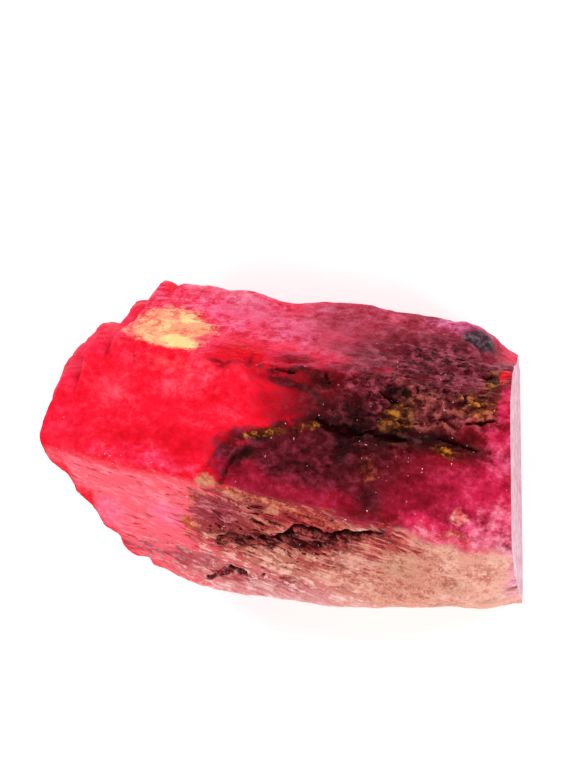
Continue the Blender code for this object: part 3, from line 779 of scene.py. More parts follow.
def crack_opening(points):
    """Depth of the open cracks in the upward faces. Each narrows towards both its ends."""
    wandered = points
    for bend in CRACK_BENDS:
        wandered = wandered + bend.height * vector_noise(points / bend.size, bend.seed)
    ragged = layered_noise(points, CRACK_RAGGED, CRACK_MEAN)
    depth = np.zeros(len(points))
    for crack in CRACKS:
        ends = np.array([crack.route[0], crack.route[-1]])
        to_end = np.min([np.linalg.norm(wandered[:, :2] - end, axis=1) for end in ends], axis=0)
        taper = np.clip(to_end / CRACK_TAPER, 0, 1) ** CRACK_TAPER_POWER
        width = crack.half_width * np.maximum(ragged * taper, CRACK_NARROWEST)
        gap = distance_to_route(wandered, crack.route)
        depth += faces_up(points) * crack.depth * np.clip(CRACK_FLOOR - gap / width, 0, 1)
    return depth


def stain_level(points, route):
    """1 on a stain's line, falling to 0 at its half width, on the upward faces."""
    return faces_up(points) * np.clip(1 - distance_to_route(points, route.points) / route.half_width, 0, 1)


def stair_relief(face, crystal):
    """Depth below a broken face of stairs whose treads lie along the crystal and whose risers cross it."""
    normal = along_crystal(outward(face)[None])[0]
    climb = (crystal[:, 0] - STAIR_START) / STAIR_TREAD + layered_noise(crystal, STAIR_WANDER)
    share = climb - np.floor(climb)
    step = np.minimum(share / (1 - STAIR_RISER), (1 - share) / STAIR_RISER)
    step *= layered_noise(crystal, STAIR_FADE, 1.0)
    return face.stairs * abs(normal[0]) * STAIR_TREAD * step


def fine_relief(points):
    """Depth of the thin layers, fragments, lumps and grain that cover the whole skin."""
    frames = {"crystal": along_crystal(points), "strata": along_strata(points)}
    depth = layered_noise(points, GRAIN_AND_LUMPS)
    layers = (frames["strata"] + layered_noise(points, STRATA_WANDER)[:, None]) / STRATA_SIZE
    depth += STRATA_DEPTH * patch_share(points, STRATA_PATCHES) * smooth_noise(layers, STRATA_SEED)
    wander = FRAGMENT_BEND.height * vector_noise(points / FRAGMENT_BEND.size, FRAGMENT_BEND.seed)
    for fragments in FRAGMENTS:
        cells = (frames[fragments.frame] + wander) / fragments.size
        levels = plate_levels(cells, fragments.seed, FRAGMENT_EDGE, fragments.tilt)
        depth += fragments.depth * patch_share(points, fragments.patches) * (0.5 - levels)
    return depth


def flat_cuts():
    """The normals and places of the two truly flat faces: the base and the sawn end."""
    return ((np.array([0.0, 0.0, -1.0]), 0.0), (np.array([1.0, 0.0, 0.0]), SAWN_END))


def core_points(points):
    """The nearest point of the stone's core line to each point."""
    start, run = np.array(CORE_LEFT), np.subtract(CORE_RIGHT, CORE_LEFT)
    share = np.clip((points - start) @ run / (run @ run), 0, 1)
    return start + share[:, None] * run


def sides_inside(reaches):
    """How far each point lies inside each side, past the ridge to its neighbours."""
    traits = {}
    for side in SIDES:
        others = np.min([reach for name, reach in reaches.items() if name != side], axis=0)
        traits["inside_" + side] = np.clip(others - reaches[side], -SIDE_REACH, SIDE_REACH)
    return traits


def weathered(points, settings):
    """Moves points of the cut block to the rough surface. Also gives what the colours follow there."""
    edge_wear = settings.edge_wear / MM
    core = core_points(points)
    rays = points - core
    rays /= np.linalg.norm(rays, axis=1)[:, None]
    crystal = along_crystal(points)
    wander = layered_noise(crystal, PLATE_WANDER)
    levels = plate_levels(crystal / PLATE_SIZE + wander[:, None], PLATE_SEED, PLATE_EDGE)
    patches = patch_depth(points, ROUGH_PATCHES)
    cracks = crack_opening(points)
    shared = settings.cracks * cracks + patch_depth(points, HOLLOWS)
    shared = shared + layered_noise(points, SWELL) + settings.fine * fine_relief(points)
    reaches = {side: np.full(len(points), FARTHEST) for side in ("top", "cut", *SIDES)}
    closeness = np.zeros(len(points))

    def meet(side, normal, distance):
        facing = rays @ normal
        reach = np.where(facing > FACING, distance / np.maximum(facing, FACING), FARTHEST)
        reaches[side] = np.minimum(reaches[side], reach)
        return np.exp(-np.clip(reach, 0, FARTHEST) / edge_wear)

    for face in FACES:
        normal = outward(face)
        depth = shared + (face.plates + patches) * (levels - PLATE_LEVEL) + stair_relief(face, crystal)
        closeness += meet(face.side, normal, face.distance - depth - (core - middle()) @ normal)
    for normal, distance in flat_cuts():
        closeness += meet("cut", normal, distance + CUT_SPARE - core @ normal)
    traits = {"crack": cracks, "mica": patch_share(points, MICA_PLACES)}
    for name, stain in STAINS.items():
        traits[name] = np.max([stain_level(points, route) for route in stain.routes], axis=0)
    traits.update(sides_inside(reaches))
    return core + rays * (-edge_wear * np.log(closeness))[:, None], traits


def trim(bm, point, normal):
    """Cuts away what lies outside a plane, and closes the cut with one flat face."""
    geometry = bm.verts[:] + bm.edges[:] + bm.faces[:]
    plane = {"plane_co": point, "plane_no": normal}
    cut = bmesh.ops.bisect_plane(bm, geom=geometry, dist=WELD, clear_outer=True, **plane)
    rim = [part for part in cut["geom_cut"] if isinstance(part, bmesh.types.BMEdge)]
    if rim:
        bmesh.ops.edgeloop_fill(bm, edges=rim)


def cut_block():
    """A block cut back to all the stone's faces, which the grid is laid over."""
    bm = bmesh.new()
    bmesh.ops.create_cube(bm, size=BLOCK)
    for face in FACES:
        normal = outward(face)
        trim(bm, middle() + normal * face.distance, normal)
    for normal, distance in flat_cuts():
        trim(bm, normal * (distance + CUT_SPARE), normal)
    mesh = bpy.data.meshes.new("cut_block")
    bm.to_mesh(mesh)
    bm.free()
    return mesh


def baked(thing):
    """The object's mesh with its modifiers applied."""
    depsgraph = bpy.context.evaluated_depsgraph_get()
    return bpy.data.meshes.new_from_object(thing.evaluated_get(depsgraph))


def even_grid(mesh, grid):
    """The same form as a fine, even mesh."""
    guide = new_piece("even_grid", mesh)
    remesh = guide.modifiers.new("even_grid", "REMESH")
    remesh.mode = "VOXEL"
    remesh.voxel_size = grid
    gridded = baked(guide)
    bpy.data.objects.remove(guide)
    return gridded


def looks_up(face):
    """Whether a face of the grid belongs to the broken skin that is seen from above."""
    return face.normal.z > REFINED_LEAN and face.calc_center_median().z > REFINED_HEIGHT


def refine(mesh):
    """Halves the grid's cells on the faces that look up, where the broken skin is finest."""
    bm = bmesh.new()
    bm.from_mesh(mesh)
    edges = {edge for face in filter(looks_up, bm.faces) for edge in face.edges}
    bmesh.ops.subdivide_edges(bm, edges=list(edges), cuts=1, use_grid_fill=True)
    bmesh.ops.triangulate(bm, faces=[face for face in bm.faces if len(face.verts) > 4])
    bm.to_mesh(mesh)
    bm.free()


def hollowness(mesh, points):
    """How far each point lies below the average of its neighbourhood, in millimetres."""
    edges = np.empty(len(mesh.edges) * 2, dtype=np.int64)
    mesh.edges.foreach_get("vertices", edges)
    here = edges.reshape(-1, 2).ravel()
    there = edges.reshape(-1, 2)[:, ::-1].ravel()
    count = np.bincount(here, minlength=len(points))
    smooth = points
    for _ in range(HOLLOW_ROUNDS):
        totals = [np.bincount(here, smooth[there, axis], len(points)) for axis in range(3)]
        smooth = np.stack(totals, axis=1) / count[:, None]
    normals = np.empty(len(points) * 3)
    mesh.vertex_normals.foreach_get("vector", normals)
    return np.sum((smooth - points) * normals.reshape(-1, 3), axis=1)


def store(mesh, name, values):
    """Keeps one number for each vertex as an attribute of the mesh."""
    layer = mesh.attributes.new(name, "FLOAT", "POINT")
    layer.data.foreach_set("value", np.asarray(values, dtype=np.float32))


def finish_cuts(mesh):
    """Trims the mesh to its two flat faces and brings it from millimetres to metres."""
    bm = bmesh.new()
    bm.from_mesh(mesh)
    for normal, distance in flat_cuts():
        trim(bm, normal * distance, normal)
    bmesh.ops.scale(bm, vec=(MM, MM, MM), verts=bm.verts)
    bmesh.ops.triangulate(bm, faces=[face for face in bm.faces if len(face.verts) > 4])
    bm.to_mesh(mesh)
    bm.free()


def stone_mesh(settings):
    """The finished stone's mesh in metres, with the attributes that its skin reads."""
    mesh = even_grid(cut_block(), settings.grid / MM)
    refine(mesh)
    points = np.empty(len(mesh.vertices) * 3)
    mesh.vertices.foreach_get("co", points)
    points, traits = weathered(points.reshape(-1, 3), settings)
    mesh.vertices.foreach_set("co", points.ravel())
    mesh.update()
    traits["hollow"] = hollowness(mesh, points)
    for name, values in traits.items():
        store(mesh, name, values)
    finish_cuts(mesh)
    mesh.shade_smooth()
    mesh.set_sharp_from_angle(angle=math.radians(SHARP_RIDGE))
    mesh.name = "raw_ruby"
    return mesh


# ---------------------------------------------------------------- node tools


class Field:
    """A number that varies over the surface. An expression on fields adds its Math nodes."""

    def __init__(self, tree, socket):
        self.tree = tree
        self.socket = socket

    def math(self, operation, *values):
        node = self.tree.nodes.new("ShaderNodeMath")
        node.operation = operation
        for socket, value in zip(node.inputs, values):
            put(self.tree, socket, value)
        return Field(self.tree, node.outputs[0])

    def __add__(self, other):
        return self.math("ADD", self, other)

    def __radd__(self, other):
        return self.math("ADD", other, self)

    def __sub__(self, other):
        return self.math("SUBTRACT", self, other)

    def __rsub__(self, other):
        return self.math("SUBTRACT", other, self)

    def __mul__(self, other):
        return self.math("MULTIPLY", self, other)

    def __rmul__(self, other):
        return self.math("MULTIPLY", other, self)

    def at_least(self, other):
        return self.math("MAXIMUM", self, other)


def put(tree, socket, value):
    """Sets a socket: a field or an output is linked, and anything else is its plain value."""
    if isinstance(value, Field):
        value = value.socket
    if isinstance(value, bpy.types.NodeSocket):
        tree.links.new(value, socket)
    elif socket.type == "RGBA" and len(value) == 3:
        socket.default_value = (*value, 1.0)
    else:
        socket.default_value = value


class Nodes:
    """A node tree and the one way to add a node to it."""

    def __init__(self, tree):
        self.tree = tree

    def node(self, kind, settings, values):
        """Adds a node: its type, its settings, which are set first, and its sockets' values or links."""
        node = self.tree.nodes.new(kind)
        for name, setting in settings.items():
            setattr(node, name, setting)
        for key, value in values.items():
            put(self.tree, node.inputs[key], value)
        return node

    def output(self, kind, settings, values, key=0):
        """Adds a node and gives one of its outputs."""
        return self.node(kind, settings, values).outputs[key]


class Skin(Nodes):
    """A material and short ways to add nodes to it."""

    def __init__(self, name):
        self.material = bpy.data.materials.new(name)
        self.material.use_nodes = True
        super().__init__(self.material.node_tree)
        self.tree.nodes.clear()

    def field(self, kind, settings, values, key=0):
        """Adds a node and gives one of its outputs as a field."""
        return Field(self.tree, self.output(kind, settings, values, key))

    def attribute(self, name):
        settings = {"attribute_name": name, "attribute_type": "GEOMETRY"}
        return self.field("ShaderNodeAttribute", settings, {}, "Fac")

    def vector(self, operation, *values):
        key = "Value" if operation == "LENGTH" else "Vector"
        return self.output("ShaderNodeVectorMath", {"operation": operation}, dict(enumerate(values)), key)

    def smooth(self, field, low, high, top=1.0):
        """0 below low, the top value above high and a smooth rise between."""
        values = {"Value": field, "From Min": low, "From Max": high, "To Max": top}
        settings = {"interpolation_type": "SMOOTHSTEP", "clamp": False}
        return self.field("ShaderNodeMapRange", settings, values)

    def spread(self, field, low, high):
        """The stretch from low to high drawn out to 0 to 1, and on past both ends."""
        values = {"Value": field, "From Min": low, "From Max": high}
        return self.field("ShaderNodeMapRange", {"clamp": False}, values)

    def noise(self, coords, detail, key="Fac"):
        values = {"Vector": coords, "Scale": 1.0, "Detail": detail, "Roughness": NOISE_ROUGHNESS}
        return self.output("ShaderNodeTexNoise", {}, values, key)

    def mix(self, below, above, mask):
        settings = {"data_type": "RGBA", "clamp_factor": True}
        return self.output("ShaderNodeMix", settings, {0: mask, 6: below, 7: above}, 2)

    def finish(self, values):
        """Ends the material in one shader with these values."""
        shader = self.output("ShaderNodeBsdfPrincipled", {}, values)
        self.node("ShaderNodeOutputMaterial", {}, {"Surface": shader})
        return self.material


# ---------------------------------------------------------------- the stone's skin


def family_middle(family):
    """The middle colour of a family's first tone, which stands for the whole family."""
    return srgb(*next(iter(TONES[family].values()))[1])


def tinted_tones(settings):
    """The stone's tones, each family of them scaled to the colour that the settings give it."""
    tones = {}
    for family, members in TONES.items():
        scale = np.array(getattr(settings, family)) / family_middle(family)
        for name, shades in members.items():
            tones[name] = [tuple(np.array(srgb(*shade)) * scale) for shade in shades]
    return tones


class StoneSkin(Skin):
    """The stone's own patterns, places and layers of colour."""

    def __init__(self, name, tones):
        super().__init__(name)
        self.shades = tones
        self.object_place = self.output("ShaderNodeTexCoord", {}, {}, "Object")
        self.frames = {
            "crystal": self.turned_place((0, 0, math.radians(-AXIS_TURN))),
            "strata": self.turned_place(tuple(Matrix(strata_axes()).to_euler())),
        }
        place = self.frames["crystal"]
        wander = self.noise(self.vector("DIVIDE", place, WARP_SIZE), WARP_DETAIL, "Color")
        wander = self.vector("SUBTRACT", wander, (0.5, 0.5, 0.5))
        self.warped = self.vector("MULTIPLY_ADD", wander, (2 * WARP_REACH,) * 3, place)
        self.layer_place = self.rejoined(self.warped)
        self.hollow = self.attribute("hollow")
        self.patterns = {kind: self.pattern(pattern, wander) for kind, pattern in PATTERNS.items()}
        for kind, grains in GRAINS.items():
            self.add_grains(kind, grains, wander)
        self.border = self.blend(BORDER)
        self.ramps = {}
        self.borders = {}
        for kind, texture in TEXTURES.items():
            self.add_texture(kind, texture)
        self.sides = {name: self.side(*edge) for name, edge in SIDE_EDGES.items()}
        self.sides["top"] = 1.0 - self.side("front", *TOP_EDGE).at_least(self.side("back", *TOP_EDGE))

    def rejoined(self, vector):
        """The same vector, split into its parts and joined again.

        Cycles has little room for results that wait for their use. Taken straight from the vector, the
        distances of all layers would be worked out first and wait. After the split each is worked out
        where it is used.
        """
        parts = self.node("ShaderNodeSeparateXYZ", {}, {0: vector}).outputs
        return self.output("ShaderNodeCombineXYZ", {}, dict(enumerate(parts)))

    def turned_place(self, rotation):
        """The place on the stone in millimetres, turned into another frame."""
        values = {"Vector": self.object_place, "Rotation": rotation, "Scale": (1 / MM,) * 3}
        return self.output("ShaderNodeMapping", {"vector_type": "POINT"}, values)

    def wandered(self, pattern, wander):
        """A pattern's own coordinates: in its frame and size, wandering as far as it does."""
        coords = self.vector("MULTIPLY_ADD", wander, (2 * pattern.wander,) * 3, self.frames[pattern.frame])
        return self.vector("DIVIDE", coords, pattern.size)

    def pattern(self, pattern, wander):
        """A plain pattern, which is mostly between 0 and 1."""
        coords = self.wandered(pattern, wander)
        return self.spread(self.noise(coords, pattern.detail), pattern.low, pattern.high)

    def add_grains(self, kind, grains, wander):
        """Adds three patterns: two random shades for each grain, and the seam around it."""
        coords = self.wandered(grains, wander)
        cells = self.output("ShaderNodeTexVoronoi", {}, {"Vector": coords, "Scale": 1.0}, "Color")
        parts = self.node("ShaderNodeSeparateColor", {}, {"Color": cells}).outputs
        self.patterns[kind] = Field(self.tree, parts[0])
        self.patterns[kind + " tint"] = Field(self.tree, parts[1])
        if grains.seam:
            self.patterns[kind + " seam"] = self.smooth(self.to_cell_edge(coords), 0.0, grains.seam, 0.5)

    def add_texture(self, kind, texture):
        """Adds a texture's two ramps of colour, with painted shade in hollows and painted highlight on
        crests, and a border that follows it and is about 1.
        """
        # Painted shade and highlight: the hollows of the skin darken its colour and the crests lighten it
        ground = self.blend(texture.ground) - self.hollow * texture.relief
        bloom = self.blend(texture.bloom) - self.hollow * texture.relief
        self.ramps[kind] = (self.smooth(ground, *GROUND_RISE), self.smooth(bloom, *BLOOM_RISE))
        self.borders[kind] = self.border + ground * 0.5 + 0.25

    def to_cell_edge(self, coords):
        """How far a place lies from the edge of its random cell."""
        values = {"Vector": coords, "Scale": 1.0}
        return self.field("ShaderNodeTexVoronoi", {"feature": "DISTANCE_TO_EDGE"}, values, "Distance")

    def veins(self):
        """Thin broken lines where healed cracks cross the clear stone."""
        edge = self.to_cell_edge(self.vector("DIVIDE", self.warped, VEIN_CELL))
        return (1.0 - self.smooth(edge, 0.0, VEIN_WIDTH)) * self.smooth(self.patterns["broad"], *VEIN_PLACES)

    def blend(self, shares):
        """Patterns added by their shares, about 0.5."""
        total = 0.5
        for kind, share in shares.items():
            total = (self.patterns[kind] - 0.5) * share + total
        return total

    def side(self, name, low, high):
        """1 on one side of the stone and 0 off it, with a ragged rise between."""
        ragged = self.attribute("inside_" + name) + (self.border - 0.5) * SIDE_RAGGED
        return self.smooth(ragged, low, high)

    def distance(self, centre, radii):
        """How far a place lies from a centre, in radii."""
        shrink = tuple(1 / radius for radius in radii)
        turned_centre = along_crystal(np.array([centre]))[0]
        shift = tuple(-along / radius for along, radius in zip(turned_centre, radii))
        offset = self.vector("MULTIPLY_ADD", self.layer_place, shrink, shift)
        return Field(self.tree, self.vector("LENGTH", offset))

    def mask(self, layer):
        """How strongly a layer covers each place."""
        ragged = self.borders[layer.texture] * (layer.ragged / 2) - self.distance(layer.centre, layer.radii)
        rim = layer.ragged / 2 - 1
        mask = self.smooth(ragged, rim, rim + layer.edge, layer.strength)
        return mask * self.sides[layer.side] if layer.side else mask

    def tone(self, name, texture):
        """A tone's three colours, spread over the stone by a texture."""
        dark, middle_colour, light = self.shades[name]
        to_middle, to_light = self.ramps[texture]
        return self.mix(self.mix(dark, middle_colour, to_middle), light, to_light)

    def painted(self, colour, layers):
        """The colour under all the layers."""
        for layer in layers:
            colour = self.mix(colour, self.tone(layer.tone, layer.texture), self.mask(layer))
        return colour

    def stained(self, colour, stains):
        """The colour with the stains along their routes."""
        for name, stain in stains.items():
            ragged = self.attribute(name) * ((self.borders[stain.texture] - 1.0) * stain.ragged + 1.0)
            mask = self.smooth(ragged, *STAIN_RISE, stain.strength)
            colour = self.mix(colour, self.tone(stain.tone, stain.texture), mask)
        return colour

    def cut_faces(self, colour):
        """The colour with the two flat faces in their own tones."""
        place = self.node("ShaderNodeSeparateXYZ", {}, {0: self.object_place}).outputs
        sawn = self.smooth(Field(self.tree, place[0]) * (1 / MM), *SAWN_RISE)
        under = self.smooth(Field(self.tree, place[2]) * (1 / MM), *UNDER_RISE)
        colour = self.mix(colour, self.tone("sawn", "mottle"), sawn * SAWN_STRENGTH)
        return self.mix(colour, self.tone("underside", "mottle"), under * UNDER_STRENGTH)

    def cracked_and_shaded(self, colour):
        """The colour with the open cracks darkened by their dark filling and painted shade, and painted
        shade in the deeper hollows.
        """
        # The open cracks: their dark filling and painted shade, by their depth
        crack = self.smooth(self.attribute("crack"), *CRACK_RISE)
        colour = self.mix(colour, CRACK_FILL_AND_SHADE_COLOUR, crack * CRACK_STRENGTH)
        # Painted shade in the hollows, fainter in the clear stone
        clear = (self.sides["tip"] * TIP_CLEARNESS).at_least(self.sides["soft back"] * BACK_CLEARNESS)
        hollow_shade = self.smooth(self.hollow, *HOLLOW_SHADE_RISE) * (1.0 - clear)
        return self.mix(colour, HOLLOW_SHADE_COLOUR, hollow_shade * HOLLOW_SHADE_STRENGTH)

    def bump(self):
        """The finest grain of the skin, weaker on the tip."""
        height = self.patterns["flecks"] * BUMP_FLECKS + self.patterns["spots"] * (1 - BUMP_FLECKS)
        strength = BUMP_STRENGTH - self.sides["tip"] * TIP_SMOOTHNESS
        values = {"Strength": strength, "Distance": BUMP_DEPTH * MM, "Height": height}
        return self.output("ShaderNodeBump", {}, values)


def ruby_skin(settings):
    """The stone's material: clear red ruby under flank crusts, stains, dark minerals and rust."""
    skin = StoneSkin("ruby_skin", tinted_tones(settings))
    ruby = skin.mix(skin.tone("clear red", "cloud"), VEIN_COLOUR, skin.veins() * VEIN_STRENGTH)
    colour = skin.stained(skin.painted(ruby, LAYERS), STAINS)
    colour = skin.cracked_and_shaded(skin.cut_faces(colour))
    values = {"Base Color": colour, "Roughness": settings.roughness, "Normal": skin.bump()}
    return skin.finish({**values, **GLASSINESS})


def mica_skin(settings):
    """Thin flakes of silvery mica that catch the light."""
    skin = Skin("mica_skin")
    place = skin.output("ShaderNodeTexCoord", {}, {}, "Object")
    shade = skin.smooth(skin.noise(skin.vector("DIVIDE", place, (MM, MM, MM)), MICA_DETAIL), *MICA_RISE)
    colour = skin.mix(MICA_DARK, tuple(settings.colour), shade)
    return skin.finish({"Base Color": colour, "Roughness": MICA_ROUGHNESS})


# ---------------------------------------------------------------- mica flakes


class Tree(Nodes):
    """A Geometry Nodes group and short ways to add to it."""

    def __init__(self, name, inputs):
        super().__init__(bpy.data.node_groups.new(name, "GeometryNodeTree"))
        interface = self.tree.interface
        interface.new_socket("Geometry", in_out="INPUT", socket_type="NodeSocketGeometry")
        interface.new_socket("Geometry", in_out="OUTPUT", socket_type="NodeSocketGeometry")
        self.keys = {}
        for label, kind in inputs.items():
            socket = interface.new_socket(label, in_out="INPUT", socket_type="NodeSocket" + kind)
            self.keys[label] = socket.identifier
        self.inputs = self.node("NodeGroupInput", {}, {}).outputs

    def random(self, low, high, seed):
        """A random number for each point."""
        return self.output("FunctionNodeRandomValue", {}, {2: low, 3: high, "Seed": seed}, 1)

    def finish(self, geometry, material):
        realized = self.output("GeometryNodeRealizeInstances", {}, {"Geometry": geometry})
        painted = self.output("GeometryNodeSetMaterial", {}, {"Geometry": realized, "Material": material})
        self.node("NodeGroupOutput", {}, {0: painted})


def flake_tree(material):
    """Flakes strewn over a skin, most where its attribute called mica is high."""
    tree = Tree("mica", {"Density": "Float", "Smallest": "Float", "Largest": "Float", "Seed": "Int"})
    inputs = tree.inputs
    where = tree.output("GeometryNodeInputNamedAttribute", {"data_type": "FLOAT"}, {"Name": "mica"})
    density = tree.output("ShaderNodeMath", {"operation": "MULTIPLY"}, {0: where, 1: inputs["Density"]})
    spread = {"Mesh": inputs["Geometry"], "Density": density, "Seed": inputs["Seed"]}
    points = tree.node("GeometryNodeDistributePointsOnFaces", {}, spread).outputs
    shape = {"Vertices": MICA_SIDES, "Radius": 1.0, "Depth": MICA_THICKNESS}
    flake = tree.output("GeometryNodeMeshCylinder", {}, shape, "Mesh")
    tip = math.radians(MICA_TIP)
    angles = {0: (-tip, -tip, -math.pi), 1: (tip, tip, math.pi)}
    tilt = tree.output("FunctionNodeRandomValue", {"data_type": "FLOAT_VECTOR"}, angles)
    turn = tree.output("FunctionNodeEulerToRotation", {}, {0: tilt})
    turned_flake = {0: points["Rotation"], 1: turn}
    rotation = tree.output("FunctionNodeRotateRotation", {"rotation_space": "LOCAL"}, turned_flake)
    size = tree.random(inputs["Smallest"], inputs["Largest"], 1)
    scale = tree.output("ShaderNodeVectorMath", {"operation": "SCALE"}, {0: MICA_STRETCH, "Scale": size})
    values = {"Points": points["Points"], "Instance": flake, "Rotation": rotation, "Scale": scale}
    tree.finish(tree.output("GeometryNodeInstanceOnPoints", {}, values), material)
    return tree


def flake_mesh(skin_mesh, settings):
    """A mesh of all the flakes that lie on the stone's skin."""
    tree = flake_tree(mica_skin(settings))
    base = new_piece("mica", skin_mesh)
    modifier = base.modifiers.new("mica", "NODES")
    modifier.node_group = tree.tree
    values = {
        "Density": settings.per_mm2 / MM ** 2,
        "Smallest": settings.smallest,
        "Largest": settings.largest,
        "Seed": settings.seed,
    }
    for label, value in values.items():
        modifier[tree.keys[label]] = value
    mesh = baked(base)
    bpy.data.objects.remove(base)
    return mesh


def new_piece(name, mesh, material=None):
    """A new object in the scene, at the origin."""
    if material:
        mesh.materials.clear()
        mesh.materials.append(material)
    piece = bpy.data.objects.new(name, mesh)
    bpy.context.scene.collection.objects.link(piece)
    return piece


# ---------------------------------------------------------------- settings and operators


def length(label, description, default):
    """A setting in metres that the sidebar shows in the scene's units."""
    words = {"name": label, "description": description}
    return bpy.props.FloatProperty(**words, default=default, min=1e-6, unit="LENGTH", precision=6)


def colour(label, description, default):
    """A setting for the linear colour of a surface."""
    words = {"name": label, "description": description}
    return bpy.props.FloatVectorProperty(**words, default=default, subtype="COLOR", min=0.0, max=1.0)


def share(label, description, default, most=2.0):
    """A setting that is a plain number from 0."""
    return bpy.props.FloatProperty(name=label, description=description, default=default, min=0.0, max=most)


def family_colour(label, description, family):
    """The colour that a family of the stone's tones follows."""
    return colour(label, description, family_middle(family))


class RubyStoneSettings(bpy.types.PropertyGroup):
    """Sizes and colours of the stone"""

    grid: length("Grid", "Size of one cell of the even mesh", GRID * MM)
    edge_wear: length("Edge wear", "How far the ridges are rounded", EDGE_WEAR * MM)
    fine: share("Fine relief", "Strength of the small fragments, layers and lumps", 1.0)
    cracks: share("Cracks", "Depth of the open cracks", 1.0)
    roughness: share("Roughness", "Roughness of the whole skin", ROUGHNESS, 1.0)
    ruby: family_colour("Ruby", "Middle colour of the clear red stone", "ruby")
    crust: family_colour("Crust", "Middle colour of the tan and layered crust on the front flank", "crust")
    minerals: family_colour("Dark minerals", "Middle colour of the dark bark and pits", "minerals")
    rust: family_colour("Rust", "Middle colour of the ochre and rusty stains", "rust")
    # The colour of the painted light patch on the back flank
    painted_glow: family_colour("Bright patch", "Middle colour of the yellow patch on the back flank", "painted_glow")
    cut: family_colour("Cut faces", "Middle colour of the sawn end and the base", "cut")


class RubyMicaSettings(bpy.types.PropertyGroup):
    """Sizes and colour of the mica flakes"""

    per_mm2: share("Flakes per mm\u00b2", "Most flakes on a square millimetre", MICA_PER_MM2, 5.0)
    smallest: length("Smallest", "Size of the smallest flake", MICA_SMALLEST * MM)
    largest: length("Largest", "Size of the largest flake", MICA_LARGEST * MM)
    seed: bpy.props.IntProperty(name="Seed", description="Changes where the flakes lie", default=MICA_SEED)
    colour: colour("Colour", "Light colour of the flakes", MICA_LIGHT)


class RubyStageSettings(bpy.types.PropertyGroup):
    """The floor, the lights and the camera"""

    floor: colour("Floor", "Colour of the floor", FLOOR_COLOUR)
    light: share("Light", "Strength of all four lights", 1.0, 10.0)
    surround: share("Surround", "Strength of the even light from all round", SURROUND)
    lens: bpy.props.FloatProperty(
        name="Lens", description="The camera's focal length", default=CAMERA_LENS, min=10.0, unit="CAMERA"
    )


class RUBY_OT_stone(bpy.types.Operator):
    """Build the ruby crystal itself"""

    bl_idname = "ruby.stone"
    bl_label = "Ruby crystal"

    def execute(self, context):
        settings = context.scene.ruby_stone
        stone = new_piece("raw_ruby", stone_mesh(settings), ruby_skin(settings))
        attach(stone, "root")
        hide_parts("ruby_crystal")
        return {"FINISHED"}


class RUBY_OT_mica(bpy.types.Operator):
    """Strew the mica flakes over the stone"""

    bl_idname = "ruby.mica"
    bl_label = "Mica flakes"

    def execute(self, context):
        mesh = flake_mesh(bpy.data.objects["raw_ruby"].data, context.scene.ruby_mica)
        flakes = new_piece("mica_flakes", mesh)
        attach(flakes, "root")
        return {"FINISHED"}


class RUBY_OT_stage(bpy.types.Operator):
    """Build the floor, the lights and the camera"""

    bl_idname = "ruby.stage"
    bl_label = "Stage"

    def execute(self, context):
        settings = context.scene.ruby_stage
        make_floor(settings)
        make_lights(context.scene, settings)
        make_camera(context.scene, settings)
        return {"FINISHED"}


def make_floor(settings):
    """A wide pale floor just under the stone."""
    bm = bmesh.new()
    bmesh.ops.create_grid(bm, x_segments=FLOOR_CELLS, y_segments=FLOOR_CELLS, size=FLOOR_HALF)
    bmesh.ops.translate(bm, vec=(0, 0, -FLOOR_DROP * MM), verts=bm.verts)
    mesh = bpy.data.meshes.new("floor")
    bm.to_mesh(mesh)
    bm.free()
    skin = Skin("pale_floor").finish({"Base Color": tuple(settings.floor), "Roughness": FLOOR_ROUGHNESS})
    new_piece("floor", mesh, skin)


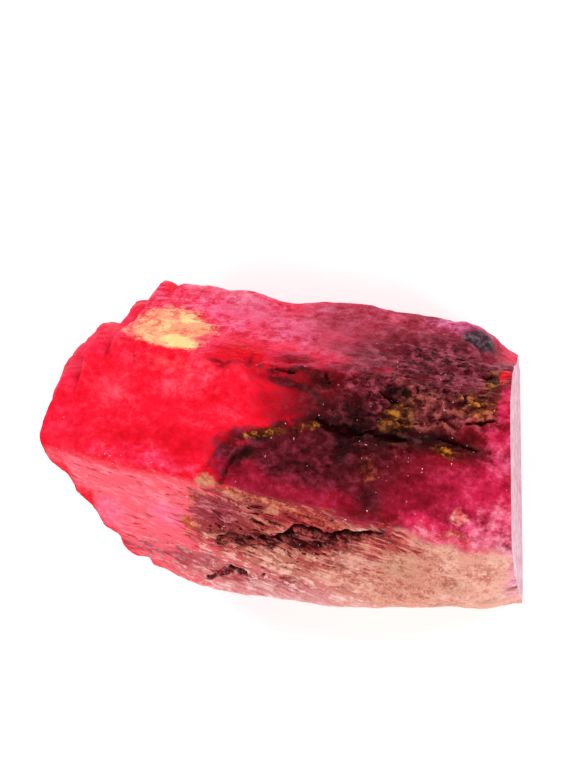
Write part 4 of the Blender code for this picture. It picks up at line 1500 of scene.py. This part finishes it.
def make_lights(scene, settings):
    """Four large soft lights around the stone, low so that they don't veil its top, and a weak surround."""
    for name, place, size, power in STUDIO_LIGHTS:
        data = bpy.data.lights.new(name, "AREA")
        data.size = size
        data.energy = power * settings.light
        light = bpy.data.objects.new(name, data)
        light.location = place
        light.rotation_euler = (-Vector(place)).to_track_quat("-Z", "Y").to_euler()
        scene.collection.objects.link(light)
    world = bpy.data.worlds.new("surround")
    world.use_nodes = True
    background = world.node_tree.nodes["Background"].inputs
    background["Color"].default_value = (1.0, 1.0, 1.0, 1.0)
    background["Strength"].default_value = settings.surround
    scene.world = world
    scene.view_settings.view_transform = "Standard"


def make_camera(scene, settings):
    """The camera, almost straight above the stone, a little to its front and right."""
    data = bpy.data.cameras.new("camera")
    data.lens = settings.lens
    data.sensor_width = SENSOR
    data.clip_start = NEAREST_SEEN
    place, target = Vector(CAMERA_PLACE) * MM, Vector(CAMERA_TARGET) * MM
    ahead = (target - place).normalized()
    right = ahead.cross(Vector((0, 1, 0))).normalized()
    up = right.cross(ahead)
    camera = bpy.data.objects.new("camera", data)
    camera.matrix_world = Matrix.Translation(place) @ Matrix((right, up, -ahead)).transposed().to_4x4()
    scene.collection.objects.link(camera)
    scene.camera = camera


# Each build step: its settings, the name they have in the scene, and its operator
STEPS = (
    (RubyStoneSettings, "ruby_stone", RUBY_OT_stone),
    (RubyMicaSettings, "ruby_mica", RUBY_OT_mica),
    (RubyStageSettings, "ruby_stage", RUBY_OT_stage),
)


class RUBY_PT_panel(bpy.types.Panel):
    """The build steps, each with its settings"""

    bl_label = "Raw ruby"
    bl_idname = "RUBY_PT_panel"
    bl_space_type = "VIEW_3D"
    bl_region_type = "UI"
    bl_category = "Ruby"

    def draw(self, context):
        for group, key, operator in STEPS:
            box = self.layout.box()
            for name in group.__annotations__:
                box.prop(getattr(context.scene, key), name)
            box.operator(operator.bl_idname)


def register():
    for group, key, operator in STEPS:
        bpy.utils.register_class(group)
        bpy.utils.register_class(operator)
        setattr(bpy.types.Scene, key, bpy.props.PointerProperty(type=group))
    bpy.utils.register_class(RUBY_PT_panel)


def unregister():
    bpy.utils.unregister_class(RUBY_PT_panel)
    for group, key, operator in reversed(STEPS):
        delattr(bpy.types.Scene, key)
        bpy.utils.unregister_class(operator)
        bpy.utils.unregister_class(group)


def main():
    register()
    bpy.ops.ruby.stone()
    bpy.ops.ruby.mica()
    bpy.ops.ruby.stage()


if __name__ == "__main__":
    main()
